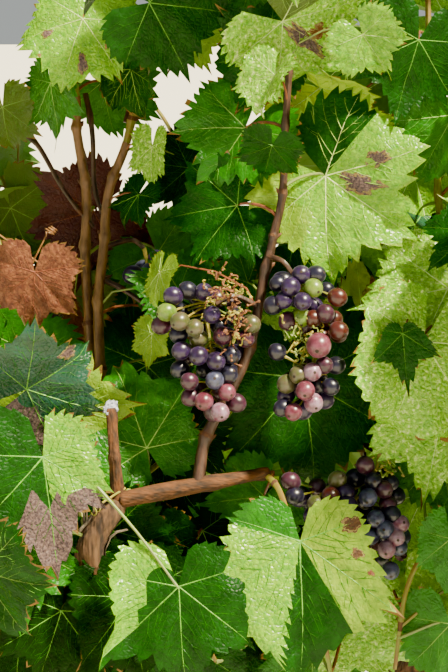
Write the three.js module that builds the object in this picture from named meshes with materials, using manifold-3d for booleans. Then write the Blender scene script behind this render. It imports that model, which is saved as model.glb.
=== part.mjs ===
// A bush-trained grapevine in early autumn, in millimetres, +Z up, standing on the flat cut under its trunk.
// A short gnarled trunk forks into five arms. Canes rise from the arms, each with its own mass of leaves,
// and bunches of grapes hang from the bare stretch of the canes. The front of the vine faces -Y.

import * as THREE from "three";
import { mergeVertices } from "three/addons/utils/BufferGeometryUtils.js";
import Module from "manifold-3d";

const wasm = await Module();
wasm.setup();
const { Manifold } = wasm;

// Driving sizes.
const trunkHeight = 430;
const trunkRadius = 35;
const headRadius = 46;
const flareRadius = 62;
const armFootRadius = 25;
const armTipRadius = 13;
const caneFootRadius = 4.4;
const caneTipRadius = 3.2;
const stemTipRadius = 1.5;
const lowFootRadius = 2.6; // of the leafy shoots that spring straight from an arm
const bareCane = 150;
const leafReach = 88; // from the leaf's root to the tip of its middle lobe
const leafThickness = 2.6;
const leafBow = 0.16; // how far the rim sags, as a share of the leaf's reach
const petioleRadius = 1.8;
const petioleTipRadius = 0.7;
const petioleLength = 62;
const leafStep = 51; // between one leaf and the next along a stem
const leafTurn = 2.4; // round the stem from one leaf to the next, in radians
const berryRadius = 7.8;
const berryFullness = 1.2; // an eight-sided berry is this much larger, so that it fills a round one's outline
const seatGap = 0.3;

// The fruit zone as it is seen from the front, a little from above. Places there are given as across, up
// and behind: how far right and up they show in the plane of the bunches, and how far behind it they lie.
const fruitCentre = new THREE.Vector3(-80, -230, 780);
const viewPitch = THREE.MathUtils.degToRad(9);
const viewDistance = 1500;
const viewAcross = new THREE.Vector3(1, 0, 0);
const viewUp = new THREE.Vector3(0, Math.sin(viewPitch), Math.cos(viewPitch));
const viewDeep = new THREE.Vector3(0, Math.cos(viewPitch), -Math.sin(viewPitch));
const windowHalf = { across: 178, up: 262 };

const up = new THREE.Vector3(0, 0, 1);
const vec = (x, y, z) => new THREE.Vector3(x, y, z);

function seen(across, upwards, behind = 0) {
  const spread = 1 + behind / viewDistance;
  return fruitCentre.clone()
    .addScaledVector(viewAcross, across * spread)
    .addScaledVector(viewUp, upwards * spread)
    .addScaledVector(viewDeep, behind);
}

function asSeen(point) {
  const from = point.clone().sub(fruitCentre);
  const behind = from.dot(viewDeep);
  const spread = 1 + behind / viewDistance;
  return { across: from.dot(viewAcross) / spread, up: from.dot(viewUp) / spread, behind };
}

// A number from 0 to 1 that depends only on its three keys, so that a leaf keeps its draw when others change.
function dice(a, b, c) {
  const wave = Math.sin(a * 12.9898 + b * 78.233 + c * 37.719 + 4.1) * 43758.5453;
  return wave - Math.floor(wave);
}

const swing = (a, b, c) => dice(a, b, c) * 2 - 1;

// Solids.

function solid(geometry) {
  geometry.deleteAttribute("normal");
  geometry.deleteAttribute("uv");
  const merged = mergeVertices(geometry, 1e-4);
  return new Manifold(new wasm.Mesh({
    numProp: 3,
    vertProperties: merged.attributes.position.array,
    triVerts: new Uint32Array(merged.index.array),
  }));
}

function largest(made) {
  return made.decompose().reduce((best, one) => (one.volume() > best.volume() ? one : best));
}

function geometryOf(made) {
  const mesh = made.getMesh();
  const geometry = new THREE.BufferGeometry();
  geometry.setAttribute("position", new THREE.BufferAttribute(new Float32Array(mesh.vertProperties), 3));
  geometry.setIndex(new THREE.BufferAttribute(new Uint32Array(mesh.triVerts), 1));
  geometry.computeVertexNormals();
  return geometry;
}

// A tapering round limb along a curve. Grown, it is larger by that much all round, past its ends too.
function limb(points, footRadius, tipRadius, sides, steps) {
  const curve = new THREE.CatmullRomCurve3(points, false, "catmullrom", 0.5);
  const frames = curve.computeFrenetFrames(steps);
  const grown = (extra) => {
    const geometry = new THREE.CylinderGeometry(1, 1, 1, sides, steps);
    const position = geometry.attributes.position;
    for (let i = 0; i < position.count; i += 1) {
      const ring = Math.round((position.getY(i) + 0.5) * steps);
      const radius = THREE.MathUtils.lerp(footRadius, tipRadius, ring / steps) + extra;
      const past = (ring === steps ? extra : 0) - (ring === 0 ? extra : 0);
      const place = curve.getPoint(ring / steps)
        .addScaledVector(frames.normals[ring], -position.getX(i) * radius)
        .addScaledVector(frames.binormals[ring], position.getZ(i) * radius)
        .addScaledVector(frames.tangents[ring], past);
      position.setXYZ(i, place.x, place.y, place.z);
    }
    return solid(geometry);
  };
  // A place on the straight stretches between the rings, where a twig is sure to meet the limb.
  const axisAt = (t) => {
    const ring = Math.min(Math.floor(t * steps), steps - 1);
    return curve.getPoint(ring / steps).lerp(curve.getPoint((ring + 1) / steps), t * steps - ring);
  };
  return { curve, axisAt, grown, solid: grown(0) };
}

// Cuts a limb's foot to the face of what carries it, with the seat's gap between them.
function seated(made, ...carriers) {
  return largest(carriers.reduce((left, carrier) => left.subtract(carrier.grown(seatGap)), made));
}

// The trunk: root flare at the flat cut, a waist, and a swollen head where the arms fork.
function trunkLimb() {
  const sides = 15;
  const steps = 10;
  const lean = { across: 14, deep: -8 };
  const grown = (extra) => {
    const geometry = new THREE.CylinderGeometry(1, 1, 1, sides, steps);
    const position = geometry.attributes.position;
    for (let i = 0; i < position.count; i += 1) {
      const t = position.getY(i) + 0.5;
      const angle = Math.atan2(position.getZ(i), position.getX(i));
      const edge = Math.hypot(position.getX(i), position.getZ(i));
      const flare = (flareRadius - trunkRadius) * Math.exp(-t * 9);
      const head = (headRadius - trunkRadius) * Math.exp(-(((t - 0.9) / 0.17) ** 2));
      const ribs = 1 + 0.09 * Math.sin(3 * angle + 5 * t) + 0.05 * Math.sin(5 * angle - 8 * t);
      const crown = t > 0.97 ? 0.72 : 1;
      const radius = (trunkRadius + flare + head) * ribs * crown + extra;
      const bow = Math.sin(t * Math.PI) * lean.across;
      position.setXYZ(
        i,
        Math.cos(angle) * radius * edge + bow,
        -Math.sin(angle) * radius * edge + bow * (lean.deep / lean.across),
        t * (trunkHeight + extra),
      );
    }
    return solid(geometry);
  };
  return { grown, solid: grown(0) };
}

// Leaf outlines round the root: an angle from the middle lobe and a reach, as shares of the lobe's length.
const lobedOutline = [
  [0, 1], [27, 0.78], [54, 0.95], [84, 0.67], [122, 0.74],
  [180, 0.13], [238, 0.74], [276, 0.67], [306, 0.95], [333, 0.78],
];
const plainOutline = [[0, 1], [66, 0.9], [138, 0.6], [222, 0.6], [294, 0.9]];

// One leaf: a lens with a lobed rim, thickest where its stalk is sunk in, and bowed down towards its rim.
function leafSolid(leaf, outline) {
  const geometry = new THREE.SphereGeometry(1, outline.length, 2, Math.PI / 2);
  const position = geometry.attributes.position;
  const side = leaf.normal.clone().cross(leaf.tip);
  for (let i = 0; i < position.count; i += 1) {
    const [x, y, z] = [position.getX(i), position.getY(i), position.getZ(i)];
    const turn = Math.atan2(x, z) / (2 * Math.PI);
    const corner = (Math.round(turn * outline.length) + outline.length) % outline.length;
    const angle = THREE.MathUtils.degToRad(outline[corner][0]);
    const reach = Math.abs(y) > 0.5 ? 0 : outline[corner][1] * leaf.reach;
    const lift = reach ? -leaf.bow * reach * reach / leaf.reach : Math.sign(y) * leafThickness / 2;
    const place = leaf.root.clone()
      .addScaledVector(side, Math.sin(angle) * reach)
      .addScaledVector(leaf.tip, Math.cos(angle) * reach)
      .addScaledVector(leaf.normal, lift);
    position.setXYZ(i, place.x, place.y, place.z);
  }
  return solid(geometry);
}

// A straight three-sided twig, also a leaf's stalk.
function twigSolid(from, to, fromRadius, toRadius, sides = 3) {
  const along = to.clone().sub(from);
  const geometry = new THREE.CylinderGeometry(toRadius, fromRadius, along.length(), sides, 1);
  geometry.translate(0, along.length() / 2, 0);
  geometry.applyQuaternion(new THREE.Quaternion().setFromUnitVectors(vec(0, 1, 0), along.normalize()));
  geometry.translate(from.x, from.y, from.z);
  return solid(geometry);
}

// A leaf that the front shows: clock is the way its tip points, in degrees clockwise from up as it is seen,
// lean tips it back about its width, and roll turns it about its middle vein. A stalk may pass by a bend.
function frontLeaf([across, upwards, behind, clock, reach, lean = 0, roll = 0, bend = null]) {
  const turn = THREE.MathUtils.degToRad(clock);
  const tip = viewUp.clone().multiplyScalar(Math.cos(turn)).addScaledVector(viewAcross, Math.sin(turn));
  const normal = viewDeep.clone().negate();
  const side = normal.clone().cross(tip);
  tip.applyAxisAngle(side, THREE.MathUtils.degToRad(lean));
  normal.applyAxisAngle(side, THREE.MathUtils.degToRad(lean)).applyAxisAngle(tip, THREE.MathUtils.degToRad(roll));
  return { root: seen(across, upwards, behind), tip, normal, reach, bow: leafBow, bend: bend && seen(...bend) };
}

// The leaves of a stem by rule: each stands a turn further round the stem than the one before, its blade
// hung like a tile that faces outwards and up. They get smaller towards the stem's tip.
function ruleLeaves({ curve, axisAt }, key) {
  const count = Math.floor(curve.getLength() / leafStep);
  return Array.from({ length: count }, (_, i) => {
    const t = (i + 0.55) / count;
    const at = axisAt(t);
    const along = curve.getTangent(t);
    const side = along.clone().cross(vec(at.x, at.y, 0).normalize()).normalize();
    const third = side.clone().cross(along);
    const turn = i * leafTurn + 0.5 * swing(key, i, 1);
    const spread = side.multiplyScalar(Math.cos(turn)).addScaledVector(third, Math.sin(turn))
      .addScaledVector(up, 0.25 + 0.3 * swing(key, i, 2)).normalize();
    const small = 1 - 0.42 * t * t;
    const root = at.clone().addScaledVector(spread, petioleLength * small * (0.75 + 0.4 * dice(key, i, 3)));
    const normal = vec(root.x, root.y, 0).normalize().multiplyScalar(0.6)
      .addScaledVector(up, 0.6)
      .add(vec(swing(key, i, 4), swing(key, i, 5), swing(key, i, 6)).multiplyScalar(0.5))
      .normalize();
    const hang = spread.clone().multiplyScalar(0.6).addScaledVector(up, -0.8);
    const tip = hang.addScaledVector(normal, -hang.dot(normal)).normalize();
    const reach = leafReach * small * (0.8 + 0.3 * dice(key, i, 7));
    return { root, tip, normal, reach, bow: leafBow, stalkFrom: at };
  });
}

// The open stretch between the left canes and the middle one, where the far side shows through.
const skyGap = { left: -100, right: -10, low: 70, high: 200 };

function hidesTheFront(leaf) {
  const place = asSeen(leaf.root);
  const inside = Math.abs(place.across) < windowHalf.across + leaf.reach * 0.6
    && Math.abs(place.up) < windowHalf.up + leaf.reach * 0.6;
  if (!inside) return false;
  return place.behind < 85 || (skyGap.left < place.across && place.across < skyGap.right
    && skyGap.low < place.up && place.up < skyGap.high);
}

// What a mass of leaves may not touch: the limbs, the bunches and the masses made before it.
const taken = [];
const boxed = (made) => ({ solid: made, box: made.boundingBox() });

function touches(one, other) {
  const apart = [0, 1, 2].some((k) => one.box.min[k] > other.box.max[k] + seatGap
    || one.box.max[k] < other.box.min[k] - seatGap);
  return !apart && one.solid.minGap(other.solid, seatGap * 2) <= seatGap;
}

// Where on a stem the stalk of a leaf starts: a little before the place nearest to it, clear of the foot.
function stalkFoot(axisAt, point) {
  const samples = 40;
  const shares = Array.from({ length: samples + 1 }, (_, i) => i / samples);
  const away = (share) => axisAt(share).distanceTo(point);
  const nearest = shares.reduce((best, share) => (away(share) < away(best) ? share : best));
  return axisAt(Math.max(0.1, nearest - 0.03));
}

function stalkSolids(leaf, axisAt) {
  const sunk = leaf.root.clone().addScaledVector(leaf.tip, leaf.reach * 0.04);
  const from = leaf.stalkFrom ?? stalkFoot(axisAt, leaf.bend ?? leaf.root);
  if (!leaf.bend) return [twigSolid(from, sunk, petioleRadius, petioleTipRadius)];
  return [
    twigSolid(from, leaf.bend, petioleRadius, petioleRadius),
    twigSolid(leaf.bend, sunk, petioleRadius, petioleTipRadius),
  ];
}

// A mass of leaves: a stem that goes on from a cane or an arm, its leaves on their stalks, fused in one. A
// leaf that would touch another limb, bunch or mass is left out, and one by rule also where it would cross
// a leaf of its own mass.
function massSolid(stem, foot, others) {
  const pieces = [foot.solid];
  const blades = [];
  const grow = (leaf, outline, keepOff) => {
    const blade = boxed(leafSolid(leaf, outline));
    const stalks = stalkSolids(leaf, foot.axisAt);
    const reached = [blade, ...stalks.map(boxed)];
    if (reached.some((made) => keepOff.some((other) => touches(made, other)))) return;
    blades.push(blade);
    pieces.push(blade.solid, ...stalks);
  };
  stem.leaves.forEach((leaf) => grow(leaf, lobedOutline, others));
  foot.leaves.forEach((leaf) => grow(leaf, plainOutline, [...others, ...blades]));
  return largest(Manifold.union(pieces));
}

// A bunch: berries packed in rounded clusters about a stalk, with a small core that holds them together.
function bunchSolid(bunch, key) {
  const pieces = [];
  bunch.stalk.forEach((point, i) => {
    if (i > 0) pieces.push(twigSolid(bunch.stalk[i - 1], point, 1.9, 1.9));
  });
  bunch.clusters.forEach((cluster, c) => {
    const core = new THREE.IcosahedronGeometry(1, 0);
    core.scale(cluster.size[0] * 0.8, cluster.size[1] * 0.8, cluster.size[2] * 0.8);
    core.translate(cluster.at.x, cluster.at.y, cluster.at.z);
    pieces.push(solid(core));
    const before = c ? bunch.clusters[c - 1].at : bunch.stalk.at(-1);
    pieces.push(twigSolid(before, cluster.at, 2, 2));
  });
  for (const berry of berriesOf(bunch, key)) {
    const round = new THREE.OctahedronGeometry(berry.radius * berryFullness, 0);
    round.rotateZ(dice(key, berry.index, 9) * 6);
    round.translate(berry.at.x, berry.at.y, berry.at.z);
    pieces.push(solid(round));
  }
  return largest(Manifold.union(pieces));
}

// Berries by rule: spots are tried over each cluster's surface, and one is kept where it has room.
function berriesOf(bunch, key) {
  const kept = [];
  bunch.clusters.forEach((cluster, c) => {
    const [wide, deep, tall] = cluster.size;
    const wanted = cluster.berries;
    let here = 0;
    for (let i = 0; i < wanted * 12 && here < wanted; i += 1) {
      const index = c * 400 + i;
      const turn = dice(key, index, 1) * 2 * Math.PI;
      const height = swing(key, index, 2);
      const ring = Math.sqrt(1 - height * height);
      const radius = berryRadius * (0.84 + 0.3 * dice(key, index, 3));
      const at = cluster.at.clone().add(vec(
        Math.cos(turn) * ring * wide, Math.sin(turn) * ring * deep, height * tall));
      if (kept.every((other) => other.at.distanceTo(at) > (other.radius + radius) * 0.97)) {
        kept.push({ at, radius, index });
        here += 1;
      }
    }
  });
  return kept;
}

// What the vine is made of.

const trunk = trunkLimb();
const junction = seen(-79, -123);

const arms = {
  arm_front_left: [vec(-20, -15, 395), vec(-85, -110, 455), vec(-165, -212, 545), vec(-180, -250, 618), junction],
  arm_front_right: [vec(15, -18, 395), vec(75, -85, 460), vec(125, -155, 545), vec(140, -178, 615)],
  arm_right: [vec(20, 5, 395), vec(115, 25, 440), vec(205, 55, 520), vec(245, 75, 605)],
  arm_back: [vec(5, 20, 395), vec(30, 115, 460), vec(60, 195, 550), vec(55, 230, 625)],
  arm_left: [vec(-20, 8, 395), vec(-110, 15, 445), vec(-190, -35, 540), vec(-192, -95, 635)],
};

const group = new THREE.Group();
const colours = {
  bark: [0x6b5443, 0.95],
  cane: [0x8a5a38, 0.7],
  leaf: [0x5d8a2c, 0.6],
  berry: [0x3a2c4e, 0.4],
};

function add(name, made, look) {
  const [color, roughness] = colours[look];
  const mesh = new THREE.Mesh(geometryOf(made), new THREE.MeshStandardMaterial({ color, roughness, metalness: 0 }));
  mesh.name = name;
  group.add(mesh);
  taken.push(boxed(made));
}

add("trunk", trunk.solid, "bark");

// Limbs by name. Each one is cut clear of those that it stands on or beside.
const limbs = { trunk };
for (const [name, points] of Object.entries(arms)) {
  const arm = limb(points, armFootRadius, armTipRadius, 9, 6);
  add(name, seated(arm.solid, ...Object.values(limbs)), "bark");
  limbs[name] = arm;
}

// Last year's wood at the front arm's end: the spur that bears the middle cane, and the pruned stub.
const spurs = {
  spur_right: { path: [junction, seen(-40, -116, 4), seen(8, -107, 12), seen(34, -103, 20)], foot: 7, tip: 5 },
  spur_stub: { path: [junction, seen(-82, -95, -4), seen(-85, -54, -6)], foot: 6, tip: 4 },
};
for (const [name, spur] of Object.entries(spurs)) {
  const made = limb(spur.path, spur.foot, spur.tip, 7, 4);
  const beside = limbs.spur_right ? [limbs.spur_right] : [];
  add(name, seated(made.solid, limbs.arm_front_left, ...beside), "cane");
  limbs[name] = made;
}

// Canes that the front shows, and the stems that go on from them into their masses of leaves. The leaves are
// across, up, behind, clock, reach, lean and roll, in millimetres and degrees.
const frontShoots = {
  centre: {
    on: "spur_right",
    cane: [[-20, -110, 8], [-12, -76, 12], [12, -25, 10], [26, 22, 8], [35, 64, 5]],
    stem: [[42, 98, 4], [47, 158, 2], [48, 205, 4], [53, 260, 10], [66, 350, 30], [86, 450, 60], [110, 530, 90]],
    leaves: [
      [10, 98, 22, 262, 58, 12, 12],
      [16, 156, 30, 216, 60, -8, 20],
      [36, 143, -14, 196, 32, 34, 0],
      [38, 196, -26, 205, 34, 0, 50],
      [76, 120, 6, 128, 84, -14, 12],
      [72, 186, 62, 120, 74, 0, 66],
      [33, 212, 22, 262, 50, 14, -10],
      [36, 240, -14, 112, 80, 16, 12],
      [20, 262, 36, 250, 45, 10, 10],
      [52, 70, 48, 88, 56, 10, 8],
      [18, 40, 48, 20, 40, 20, 20],
    ],
  },
  left_a: {
    cane: [[-100, -40, 122], [-103, 36, 124], [-103, 92, 124], [-108, 140, 122], [-111, 180, 118]],
    stem: [[-118, 236, 112], [-132, 310, 110], [-155, 410, 112], [-178, 500, 120]],
    leaves: [
      [-106, 238, 50, 200, 60, -6, 8],
      [-130, 190, 80, 176, 46, 0, 52],
      [-152, 196, 118, 196, 62, 18, 20],
      [-70, 200, 86, 168, 44, 0, 46],
      [-92, 190, 132, 120, 52, 10, 14],
      [-112, 30, 170, 196, 46, 6, 10],
      [-98, 94, 164, 252, 62, 8, -8],
    ],
    on: "arm_left",
    along: 0.97,
  },
  left_b: {
    cane: [[-95, -60, 112], [-94, -6, 108], [-92, 50, 106], [-88, 98, 106], [-73, 145, 104]],
    stem: [[-58, 205, 100], [-44, 280, 100], [-34, 370, 106], [-26, 470, 120]],
    leaves: [
      [-56, 250, 14, 96, 66, 12, 10],
      [-34, 200, 150, 150, 50, 10, 10],
      [-50, 62, 150, 140, 56, 8, 12],
    ],
    on: "arm_left",
    along: 0.9,
  },
  front_right: {
    cane: [[222, -160, 58], [204, -90, 54], [178, -20, 52], [168, 4, 52]],
    stem: [[164, 60, 48], [160, 130, 50], [155, 200, 50], [152, 300, 56], [158, 400, 70], [172, 500, 90]],
    leaves: [
      [134, 2, -26, 172, 46, 4, 4],
      [168, 36, 18, 206, 74, -8, 8],
      [162, -2, -8, 205, 96, -4, -14],
      [164, -58, 8, 192, 66, 0, 14],
      [186, 78, -8, 232, 42, 0, 24],
      [196, 120, 44, 190, 56, 8, 30],
      [146, 222, 8, 196, 64, 8, -16],
      [112, 206, -42, 150, 52, 10, 8],
      [172, 166, 10, 160, 60, 20, 0],
    ],
    on: "arm_front_right",
    along: 0.9,
  },
};

const frontLows = {
  front_left: {
    on: "arm_front_left",
    stem: [[-100, -156, 6], [-110, -122, 16], [-121, -78, 22], [-138, -18, 32], [-166, 60, 50], [-200, 160, 80],
      [-222, 260, 110]],
    leaves: [
      [-136, -91, -42, 152, 74, 2, -22],
      [-34, -188, -34, 176, 78, -6, 4, [-96, -112, -30]],
      [-148, -40, -14, 60, 62, -12, 24],
      [-152, -46, 20, 232, 50, 10, 10],
      [-128, -62, 38, 70, 58, 10, 10],
      [-160, -150, -26, 176, 66, 6, -20],
      [-182, -176, -56, 150, 60, 0, 20],
    ],
  },
  low_left: {
    on: "arm_front_left",
    stem: [[-94, -158, 10], [-64, -172, 36], [-34, -198, 50], [-6, -244, 56]],
    leaves: [
      [-58, -148, 62, 205, 58, 8, 12],
      [-16, -146, 84, 160, 62, 10, 8],
      [-46, -216, 16, 196, 60, 6, -8],
      [4, -204, 66, 140, 60, 10, 0],
    ],
  },
  low_centre: {
    on: "spur_right",
    stem: [[32, -104, 18], [42, -118, 0], [52, -144, -10], [66, -184, -10], [78, -240, 10], [92, -310, 30]],
    leaves: [
      [57, -154, -26, 180, 90, -6, 2],
      [92, -212, 60, 196, 60, 0, 0],
      [30, -120, 52, 210, 52, 10, 8],
      [20, -146, 118, 170, 60, 10, 0],
    ],
  },
  stub_side: {
    on: "arm_front_left",
    stem: [[-76, -121, 8], [-52, -98, 42], [-4, -62, 62], [44, -14, 72], [84, 20, 84]],
    leaves: [
      [-58, -84, 26, 338, 76, 10, 6],
      [-30, -70, 52, 190, 50, 6, 10],
      [59, -32, 58, 172, 92, 4, -6],
      [6, 0, 70, 150, 52, 10, 10],
      [-34, 34, 66, 330, 44, 20, 20],
      [92, 44, 78, 350, 46, 0, 0],
    ],
  },
  low_right: {
    on: "arm_front_right",
    stem: [[214, -176, 40], [186, -170, 18], [156, -160, 8], [136, -192, 12], [128, -250, 20]],
    leaves: [
      [150, -124, -2, 200, 70, 0, -14],
      [166, -152, -26, 176, 56, 6, 16],
      [134, -196, 34, 176, 66, 4, 0],
      [170, -216, 8, 170, 58, 10, 20],
    ],
  },
};

// Canes on the other sides: how far along its arm each one stands, heading in degrees from +X, rise above
// the level, length of cane and stem, and how far its end droops, as a share of the length. The low ones are
// all leaves, and hang round the arms or fill the middle.
const sideShoots = {
  right_up: { on: "arm_right", along: 0.9, heading: 30, rise: 84, length: 640, droop: 0.08 },
  right_out: { on: "arm_right", along: 0.97, heading: -16, rise: 62, length: 520, droop: 0.3 },
  front_out: { on: "arm_front_right", along: 0.97, heading: -46, rise: 70, length: 540, droop: 0.25 },
  back_up: { on: "arm_back", along: 0.83, heading: 96, rise: 86, length: 660, droop: 0.08 },
  back_left: { on: "arm_back", along: 0.97, heading: 140, rise: 62, length: 540, droop: 0.25 },
  back_right: { on: "arm_back", along: 0.9, heading: 36, rise: 64, length: 560, droop: 0.25 },
  left_out: { on: "arm_left", along: 0.83, heading: 204, rise: 62, length: 500, droop: 0.3 },
  left_back: { on: "arm_left", along: 0.76, heading: 146, rise: 72, length: 600, droop: 0.16 },
};
const sideLows = {
  right_low: { on: "arm_right", along: 0.8, heading: -38, rise: 20, length: 270, droop: 0.7 },
  front_low: { on: "arm_front_right", along: 0.83, heading: -66, rise: 14, length: 200, droop: 0.8 },
  back_low: { on: "arm_back", along: 0.76, heading: 92, rise: 16, length: 250, droop: 0.8 },
  left_low: { on: "arm_left", along: 0.69, heading: 172, rise: 18, length: 250, droop: 0.7 },
  inner_back: { on: "arm_back", along: 0.69, heading: 262, rise: 56, length: 330, droop: 0.1 },
  inner_right: { on: "arm_right", along: 0.76, heading: 206, rise: 66, length: 330, droop: 0.1 },
  inner_left: { on: "arm_left", along: 0.62, heading: 26, rise: 34, length: 240, droop: 0.1 },
};

// Which arm or spur each cane made so far stands on. A cane is cut clear of its neighbours on the same one.
const standsOn = {};

function addCane(name, cane, on) {
  const neighbours = Object.keys(standsOn).filter((other) => standsOn[other] === on).map((other) => limbs[other]);
  add(name, seated(cane.solid, limbs[on], ...neighbours), "cane");
  limbs[name] = cane;
  standsOn[name] = on;
}

function sidePath(shoot, order) {
  const foot = limbs[shoot.on].curve.getPoint(shoot.along);
  const heading = THREE.MathUtils.degToRad(shoot.heading);
  const rise = THREE.MathUtils.degToRad(shoot.rise);
  const out = vec(Math.cos(heading), Math.sin(heading), 0);
  const aim = out.clone().multiplyScalar(Math.cos(rise)).addScaledVector(up, Math.sin(rise));
  const wave = vec(-out.y, out.x, 0);
  const at = (share) => foot.clone().addScaledVector(aim, shoot.length * share)
    .addScaledVector(out, shoot.length * shoot.droop * share * share * 0.5)
    .addScaledVector(up, -shoot.length * shoot.droop * share * share)
    .addScaledVector(wave, shoot.length * 0.05 * (Math.sin(share * 7 + order) - Math.sin(order)));
  return at;
}

const stems = [];

for (const [name, shoot] of Object.entries(frontShoots)) {
  const canePoints = shoot.cane.map((place) => seen(...place));
  if (shoot.along) canePoints.unshift(limbs[shoot.on].curve.getPoint(shoot.along));
  const cane = limb(canePoints, caneFootRadius, caneTipRadius, 6, 4);
  addCane(`cane_${name}`, cane, shoot.on);
  stems.push({
    name,
    points: [cane.curve.getPoint(1), ...shoot.stem.map((place) => seen(...place))],
    footRadius: caneTipRadius,
    leaves: shoot.leaves.map(frontLeaf),
  });
}

for (const [name, low] of Object.entries(frontLows)) {
  stems.push({
    name,
    points: low.stem.map((place) => seen(...place)),
    footRadius: lowFootRadius,
    leaves: low.leaves.map(frontLeaf),
  });
}

Object.entries(sideShoots).forEach(([name, shoot], order) => {
  const at = sidePath(shoot, order);
  const bare = bareCane / shoot.length;
  const cane = limb([0, 0.33, 0.66, 1].map((share) => at(share * bare)), caneFootRadius, caneTipRadius, 6, 2);
  addCane(`cane_${name}`, cane, shoot.on);
  const shares = [0.25, 0.5, 0.75, 1];
  stems.push({
    name,
    points: [cane.curve.getPoint(1), ...shares.map((share) => at(bare + (1 - bare) * share))],
    footRadius: caneTipRadius,
    leaves: [],
  });
});

Object.entries(sideLows).forEach(([name, shoot], order) => {
  const at = sidePath(shoot, order + 3);
  stems.push({
    name,
    points: [0, 0.33, 0.66, 1].map(at),
    footRadius: lowFootRadius,
    leaves: [],
  });
});

// Bunches at the front, and under the outer canes on the other sides.
const frontBunches = {
  bunch_left: {
    on: "cane_centre",
    stalk: [[26, 22, 7], [8, 30, -2], [-6, 24, -4]],
    clusters: [
      { at: [-14, 16, 0], size: [28, 20, 16], berries: 11 },
      { at: [-9, -12, 0], size: [22, 18, 18], berries: 9 },
      { at: [-7, -44, 0], size: [13, 13, 14], berries: 5 },
    ],
  },
  bunch_middle: {
    on: "cane_centre",
    stalk: [[33, 60, 4], [44, 56, -6], [52, 46, -6]],
    clusters: [
      { at: [58, 34, -2], size: [23, 17, 16], berries: 9 },
      { at: [74, 4, 0], size: [14, 12, 12], berries: 4 },
      { at: [60, -40, -2], size: [18, 16, 20], berries: 8 },
    ],
  },
  bunch_right: {
    on: "cane_front_right",
    stalk: [[196, -62, 54], [150, -80, 40], [118, -84, 30]],
    clusters: [
      { at: [112, -118, 26], size: [20, 17, 19], berries: 9 },
      { at: [76, -124, 28], size: [19, 14, 12], berries: 6 },
      { at: [126, -154, 24], size: [11, 12, 16], berries: 5 },
    ],
  },
  bunch_back_left: {
    on: "cane_left_b",
    stalk: [[-92, 66, 106], [-70, 72, 108], [-60, 66, 110]],
    clusters: [{ at: [-56, 44, 112], size: [14, 13, 17], berries: 6 }],
  },
};

const stalkStep = 26;
const sideClusters = [
  { drop: 26, size: [21, 21, 17], berries: 6 },
  { drop: 58, size: [13, 13, 19], berries: 3 },
];

function addBunch(name, bunch, key) {
  add(name, seated(bunchSolid(bunch, key), limbs[bunch.on]), "berry");
}

Object.entries(frontBunches).forEach(([name, bunch], key) => {
  addBunch(name, {
    on: bunch.on,
    stalk: bunch.stalk.map((place) => seen(...place)),
    clusters: bunch.clusters.map((cluster) => ({ ...cluster, at: seen(...cluster.at) })),
  }, key + 1);
});

["right_out", "front_out", "back_left", "back_right", "left_out"].forEach((name, order) => {
  const shoot = sideShoots[name];
  const cane = limbs[`cane_${name}`].curve;
  const hangFrom = cane.getPoint(0.62);
  const heading = THREE.MathUtils.degToRad(shoot.heading);
  const out = vec(Math.cos(heading), Math.sin(heading), -0.25);
  const elbow = hangFrom.clone().addScaledVector(out, stalkStep);
  const lower = elbow.clone().addScaledVector(up, -12).addScaledVector(out, 4);
  addBunch(`bunch_under_${name}`, {
    on: `cane_${name}`,
    stalk: [hangFrom, elbow, lower],
    clusters: sideClusters.map(({ drop, size, berries }) => (
      { at: lower.clone().addScaledVector(up, -drop), size, berries })),
  }, order + 11);
});

// Masses of leaves. All the stems are there first, so that no leaf grows through one.
const feet = stems.map((stem, key) => {
  const made = limb(stem.points, stem.footRadius, stemTipRadius, 4, stem.points.length);
  const leaves = ruleLeaves(made, key + 1).filter((leaf) => !hidesTheFront(leaf));
  return { axisAt: made.axisAt, leaves, ...boxed(seated(made.solid, ...Object.values(limbs))) };
});
stems.forEach((stem, key) => {
  const others = [...taken, ...feet.filter((foot) => foot !== feet[key])];
  add(`foliage_${stem.name}`, massSolid(stem, feet[key], others), "leaf");
});

export default group;
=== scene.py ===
# A bush-trained grapevine in early autumn: bark, canes, leaves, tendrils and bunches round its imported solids.
# Sizes are in millimetres here, and a mesh is turned to metres when it is made. The front faces -Y.

import math

import bpy
import numpy as np
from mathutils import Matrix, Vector, kdtree


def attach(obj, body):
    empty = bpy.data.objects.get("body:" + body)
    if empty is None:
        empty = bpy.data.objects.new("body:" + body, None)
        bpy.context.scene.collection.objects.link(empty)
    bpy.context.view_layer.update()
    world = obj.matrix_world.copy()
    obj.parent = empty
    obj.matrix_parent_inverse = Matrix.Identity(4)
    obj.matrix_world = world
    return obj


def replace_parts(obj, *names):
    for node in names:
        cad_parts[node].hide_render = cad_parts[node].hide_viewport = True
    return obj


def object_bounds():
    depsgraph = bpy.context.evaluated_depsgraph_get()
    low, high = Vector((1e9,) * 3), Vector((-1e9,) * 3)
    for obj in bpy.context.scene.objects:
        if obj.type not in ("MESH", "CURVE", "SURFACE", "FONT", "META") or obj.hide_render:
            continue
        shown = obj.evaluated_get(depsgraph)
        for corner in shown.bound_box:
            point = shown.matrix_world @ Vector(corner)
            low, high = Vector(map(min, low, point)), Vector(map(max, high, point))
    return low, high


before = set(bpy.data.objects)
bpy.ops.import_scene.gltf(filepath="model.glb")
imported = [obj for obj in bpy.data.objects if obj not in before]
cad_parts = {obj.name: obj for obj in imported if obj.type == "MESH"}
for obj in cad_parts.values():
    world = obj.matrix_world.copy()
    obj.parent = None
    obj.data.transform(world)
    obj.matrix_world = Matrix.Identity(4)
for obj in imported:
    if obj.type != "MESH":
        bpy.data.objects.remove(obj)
bpy.ops.object.select_all(action="DESELECT")
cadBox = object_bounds()

# Places, draws and curves

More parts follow.
